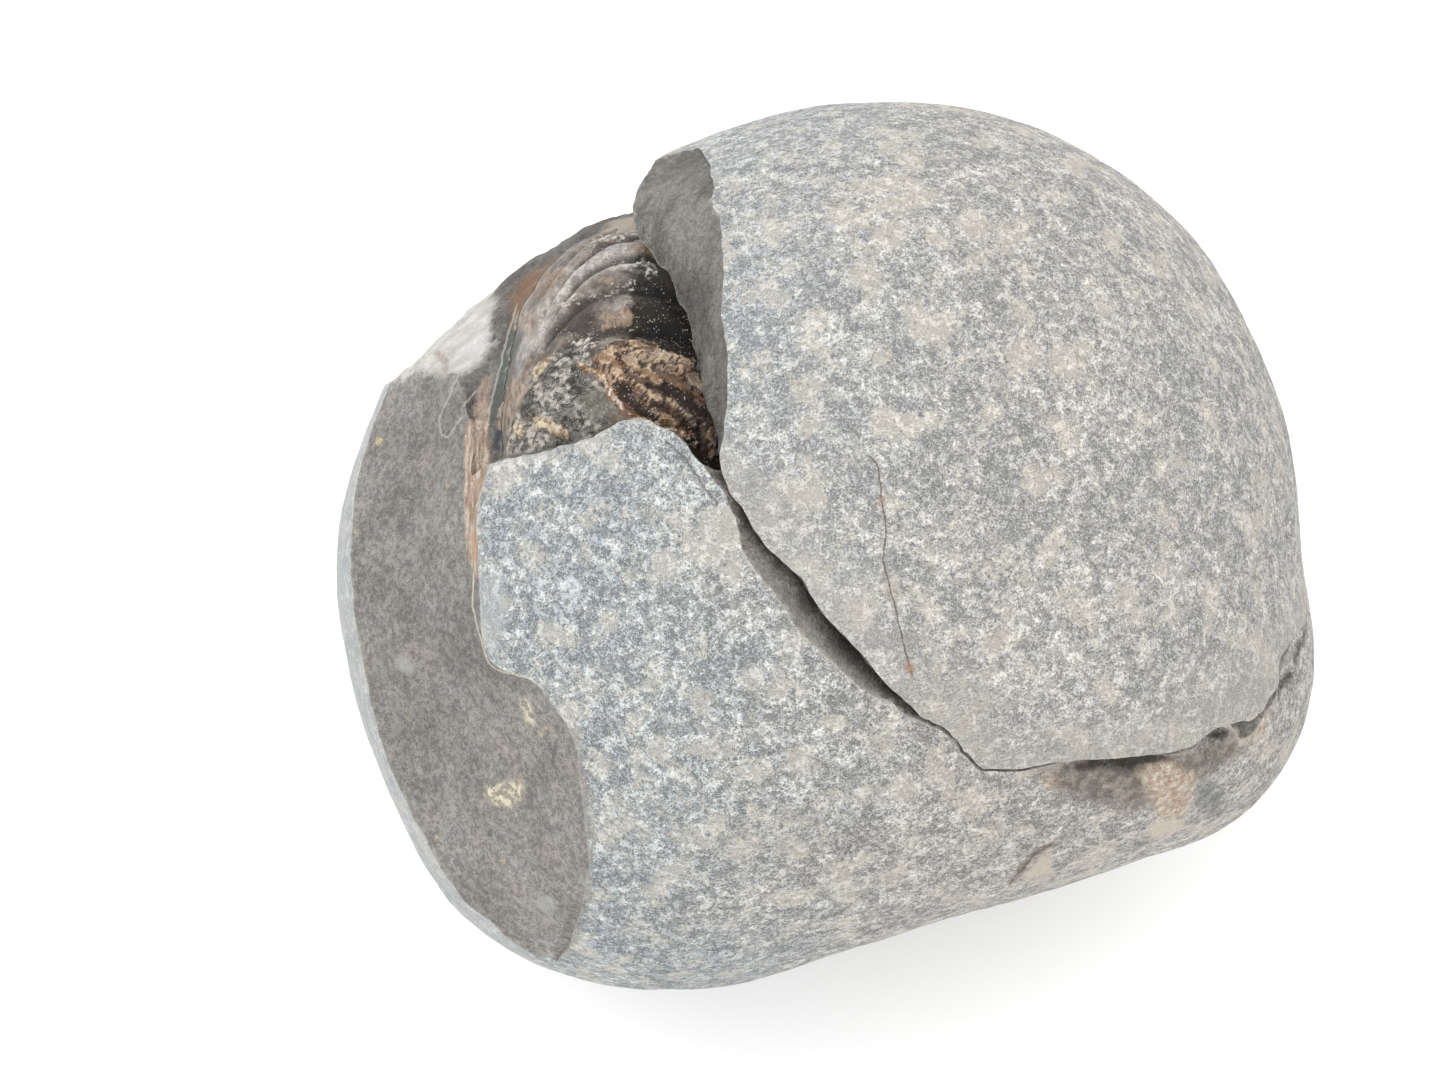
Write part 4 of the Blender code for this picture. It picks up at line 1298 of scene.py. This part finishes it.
def lay_surfaces(tear, skin, **fresh):
    """Give each kind of face its colour, and lighten the worn edges between them."""
    colour = skin
    for kind, shown in fresh.items():
        colour = blend(stored(kind + "_face", skin), colour, shown)
    worn = ramp(plus(stored("edge", skin), tear), 0.5, 1.1)
    return blend(times(worn, 0.4), colour, tone(214, 210, 199))


store_surfaces(lower_half.data)
places = stray(mesh_points(lower_half.data))
for level, outlines in LOWER_OUTLINES.items():
    store_marks(lower_half.data, places, level, outlines=outlines)
store_marks(lower_half.data, places, spots=LOWER_SPOTS, lines=LOWER_LINES)
store_marks(lower_half.data, places, RIM_LEVEL, lines=RIM_LINES)
write_lines(lower_half.data, places, THIN_LINES)

material, place, tear, skin, scar, wall, split, rock = stone(
    "stone_lower", tone(168, 176, 181), tone(178, 175, 170), tone(216, 211, 203), 0.36)
nibble = times(tear, 0.4)
wobble = times(tear, 0.2)
fibres = ramp(cloud(drawn_out(place, (2.6, 0.35, 1.0)), 1.0, 4.0, 0.7), 0.38, 0.62)
crumbly = blotches(place, 0.9, 0.48, 1.0)
skin = stain(skin, "pale_skin", tear, tone(212, 215, 214), 0.6, 0.5)
icy = blotches(place, 0.7, 0.52, 1.2)
skin = stain(skin, "blue_white", tear, blend(icy, skin, tone(238, 244, 248)), 0.4)
# Painted rim light: paler skin along the left edge.
skin = stain(skin, "painted_rim_light", tear, blend(0.7, skin, tone(220, 221, 220)), 2.0, 0.8)
brown = blend(crumbly, tone(112, 103, 94), tone(160, 149, 137))
skin = stains(skin, ("brown_patch", tear, brown, 1.2, 0.8),
              ("scar_fringe", times(tear, 1.8), scar, 0.5, 0.7),
              ("grey_streaks", tear, tone(122, 125, 127), 0.8, 0.7))
scraps = times(blotches(place, 1.3, 0.42, 1.2), 0.7)
orange = blend(scraps, blend(crumbly, tone(206, 184, 162), tone(238, 226, 208)),
               tone(176, 136, 104))
orange = shade(orange, ramp(cloud(place, 0.6, 4.0, 0.8), 0.36, 0.62, 0.72, 1.2))
skin = stains(skin, ("orange_patches", tear, orange, 0.8, 0.9),
              ("pale_patches", nibble, tone(228, 216, 200), 0.4, 0.85),
              ("chip_edge", nibble, tone(126, 104, 90), 0.35, 0.75),
              # Painted shadow in the open crack at the lower right.
              ("painted_gap_shadows", tear, tone(50, 44, 39), 0.6, 0.9))
skin = thin_line(skin, "cracks", wobble, 0.11, tone(104, 94, 86), 0.6)

grit = blotches(place, 0.8, 0.50, 0.9)
tan = blend(fibres, tone(170, 146, 128), tone(238, 223, 206))
tan = blend(times(blotches(place, 1.6, 0.42, 0.9), 0.6), tan, tone(164, 124, 96))
scar = stain(scar, "yellow_crumbs", tear, tone(200, 190, 164), 0.6, 0.35)
crumb = times(grit, ramp(stored("yellow_crumbs", place), -0.5, 0.3))
scar = blend(crumb, scar, tone(252, 244, 214))
scar = stains(scar, ("yellow_spots", nibble, tone(222, 206, 164), 0.2, 0.85),
              ("smudge", tear, tone(196, 196, 190), 0.4, 0.7))

rock = stains(rock, ("rust_stains", tear, tone(150, 112, 82), 0.7, 0.8),
              ("recess", nibble, tone(104, 109, 103), 0.3),
              ("dark_patch", nibble, tone(82, 84, 92), 0.3),
              ("pale_rock", tear, tone(204, 190, 176), 0.5, 0.8))


def lay_old_marks(colour):
    """Marks that cross from the break to the scar: calcite, veins, pink rock and the tan strip."""
    pink = blend(fibres, tone(160, 138, 124), tone(206, 186, 168))
    chalk = mottle(cloud(place, 2.2, 3.0), tone(214, 210, 202), tone(238, 236, 232), 0.35, 0.65)
    colour = stains(colour, ("pink_rock", tear, pink, 0.3, 0.85),
                    ("tan_strip", nibble, tan, 0.15, 0.95),
                    ("tan_heart", nibble, tone(208, 168, 134), 0.2, 0.8),
                    ("calcite", tear, chalk, 0.6),
                    ("calcite_seam", nibble, tone(178, 164, 152), 0.3, 0.8))
    return thin_line(colour, "veins", wobble, 0.12, tone(206, 204, 196), 0.6)


scar = lay_old_marks(scar)
rock = lay_old_marks(rock)
split = stain(split, "worn_lip", tear, blend(0.5, split, tone(186, 182, 174)), 1.0, 0.8)
# Painted shadow on the split below the cap's overhanging edge.
split = stain(split, "cap_edge_shadow", tear, tone(48, 43, 39), 0.9, 0.85)
colour = lay_surfaces(tear, skin, scar=scar, wall=wall, split=split, rock=rock)
colour = thin_line(colour, "pale_lines", wobble, 0.10, tone(230, 224, 208), 0.85)
finish(lower_half, "lower_half", material, colour)

# ---------------------------------------------------------------------------------------------
# The upper half: the crown of the same concretion, set back in place along the split. Its left
# edge is broken off in a steep, even-grained wall, and a hairline crack runs down its face.

# The wall: its top edge (u, v, w, lean), and rows of its sheet above and below that edge.
WALL_LINE = ((-17.0, 48.0, 0.0, 1.0), (-14.0, 42.0, 6.0, 1.0), (-11.9, 38.3, 15.5, 0.9),
             (-10.4, 33.4, 26.9, 0.8), (-10.0, 28.2, 33.2, 0.6), (-9.6, 22.5, 37.8, 0.38),
             (-9.3, 13.3, 42.3, 0.3), (-9.8, 7.1, 43.7, 0.05), (-7.8, 3.2, 44.5, 0.0),
             (-6.0, 0.5, 44.8, 0.0), (-3.0, -2.1, 44.9, 0.0), (-1.6, -4.3, 44.9, 0.0),
             (1.4, -7.8, 44.3, 0.0), (5.0, -12.2, 42.9, 0.0), (7.7, -15.1, 41.4, 0.0),
             (12.0, -21.0, 38.0, 0.0), (17.0, -30.0, 30.0, 0.0))
WALL_LENGTH = 110.0
WALL_RISE = (12.0, 5.0, 0.0)
WALL_FALL = (-4.0, -8.0, -12.0, -17.0, -23.0, -31.0, -42.0, -55.0)
WALL_PUSH = (-95.0, -25.0, 15.0)
WALL_BUMPS = (90, (0.30, 6.0, 2), (0.12, 1.4, 2))

UPPER_SPOKES = int(760 / FINE)
UPPER_BANDS = ((-88, -32, 8), (-30, 88, int(190 / FINE)))

# Dents and marks, given as those of the lower half.
UPPER_DENTS = ((29.6, -0.8, 36.5, 0.9, 0.3), (44.3, 2.1, 17.7, 1.8, 0.7))
UPPER_SPOTS = {
    "cream_spots": (
        (-4.3, 5.8, 1.2), (-2.9, 5.0, 1.5), (-1.5, 4.2, 1.0), (4.4, 11.4, 1.4), (6.6, 11.0, 1.4),
        (-2.5, 14.2, 1.4), (17.9, 6.3, 1.5), (1.9, -5.2, 1.3), (5.3, 28.4, 1.7), (30.1, 0.4, 0.8),
        (29.9, -1.6, 0.9), (13.1, 29.5, 1.6), (17.2, 17.4, 1.6), (20.6, 16.9, 1.6),
        (8.2, 19.6, 1.5), (1.3, 30.4, 1.2), (7.5, 36.0, 1.4)),
    "dark_spots": (
        (18.3, -0.3, 1.2), (30.0, 27.5, 1.6), (31.6, 17.0, 1.4), (13.8, 37.4, 1.8),
        (6.5, 24.6, 1.3), (20.7, 24.0, 2.2), (-2.8, 22.8, 2.2), (4.2, 18.2, 1.6), (10.7, 4.5, 1.3),
        (26.0, 27.4, 1.6)),
    "rust_spots": ((4.2, 4.5, 0.25), (6.7, -10.3, 0.35)),
}
HAIRLINE = {
    "hairline": (
        ((3.2, 8.3), (3.9, 7.5), (4.0, 6.2), (4.2, 4.5), (4.4, 3.1), (4.6, 1.9), (4.3, -0.8),
         (5.2, -4.3), (6.3, -8.7), (7.0, -11.0)),),
}
RIM_REACH = 7.0

upper_half = pebble("upper_half_stone", UPPER_SPOKES, UPPER_BANDS, UPPER_DENTS)
cut(upper_half, split_block(GAP / 2), "INTERSECT")
line = curve(WALL_LINE, WALL_LENGTH)
line, lean = line[:, :3], line[:, 3]
fall = np.stack([lean, np.zeros(len(line)), np.ones(len(line))], axis=-1)
sheet = [line + (0.0, 0.0, reach) for reach in WALL_RISE]
sheet += [line + reach * fall for reach in WALL_FALL]
break_off(upper_half, "wall", np.stack(sheet, axis=1), WALL_BUMPS, WALL_PUSH, WALL)
cut(upper_half, socket())

store_surfaces(upper_half.data)
places = mesh_points(upper_half.data)
store_marks(upper_half.data, places, spots=UPPER_SPOTS)
write_lines(upper_half.data, places, HAIRLINE)
write(upper_half.data, "above_split", places[:, 2] - split_height(places[:, 0], places[:, 1]))

material, place, tear, skin, scar, wall, split, rock = stone(
    "stone_upper", tone(170, 178, 185), tone(178, 177, 175), tone(218, 214, 206), 0.30)
rim = plus(stored("above_split", place), times(tear, 3.0))
skin = blend(ramp(rim, 0.5, RIM_REACH, 0.45, 0.0), skin, tone(206, 200, 190))
wobble = ragged_edge(place, 0.8, 0.10)
skin = thin_line(skin, "hairline", wobble, 0.35, tone(190, 178, 165), 0.3)
skin = thin_line(skin, "hairline", wobble, 0.075, tone(104, 94, 86), 0.8)
skin = stain(skin, "rust_spots", times(tear, 0.4), tone(190, 150, 126), 0.3, 0.85)
colour = lay_surfaces(tear, skin, scar=scar, wall=wall, split=split, rock=rock)
finish(upper_half, "upper_half", material, colour)

# ---------------------------------------------------------------------------------------------
# A pale floor, a white sky for even light, and one broad soft lamp over the back left.

EYE = (-9.75, 0.8, 361.2)
LENS = 90.0
SENSOR_WIDTH = 36.0
NEAR_CLIP = 0.01
FLOOR_REACH = 3.0
FLOOR_GREY = 0.92
SKY_STRENGTH = 1.45
LAMP_POWER = 2.4
LAMP_WIDTH = 0.7
LAMP_PLACE = (-0.18, 0.22, 0.80)
LAMP_TURN = (-15.0, -13.0, 0.0)

floor_mesh = bpy.data.meshes.new("floor")
corners = [(x * FLOOR_REACH, y * FLOOR_REACH, 0) for x, y in ((-1, -1), (1, -1), (1, 1), (-1, 1))]
floor_mesh.from_pydata(corners, [], [(0, 1, 2, 3)])
floor = add_object("floor", floor_mesh)
pale = bpy.data.materials.new("floor_card")
pale.use_nodes = True
card = pale.node_tree.nodes["Principled BSDF"].inputs
card["Base Color"].default_value = (FLOOR_GREY, FLOOR_GREY, FLOOR_GREY, 1)
card["Roughness"].default_value = 1.0
floor_mesh.materials.append(pale)

world = bpy.data.worlds.new("white_sky")
bpy.context.scene.world = world
world.use_nodes = True
sky = world.node_tree.nodes["Background"].inputs
sky["Color"].default_value = (1, 1, 1, 1)
sky["Strength"].default_value = SKY_STRENGTH

lamp_data = bpy.data.lights.new("soft_box", "AREA")
lamp_data.shape = "DISK"
lamp_data.size = LAMP_WIDTH
lamp_data.energy = LAMP_POWER
lamp = add_object("soft_box", lamp_data)
lamp.location = LAMP_PLACE
lamp.rotation_euler = np.radians(LAMP_TURN)

camera_data = bpy.data.cameras.new("camera")
camera_data.lens = LENS
camera_data.sensor_width = SENSOR_WIDTH
camera_data.clip_start = NEAR_CLIP
camera = add_object("camera", camera_data)
camera.location = to_world(EYE)
camera.rotation_euler = (math.radians(LEAN), 0, 0)
bpy.context.scene.camera = camera
bpy.context.scene.view_settings.view_transform = "Standard"
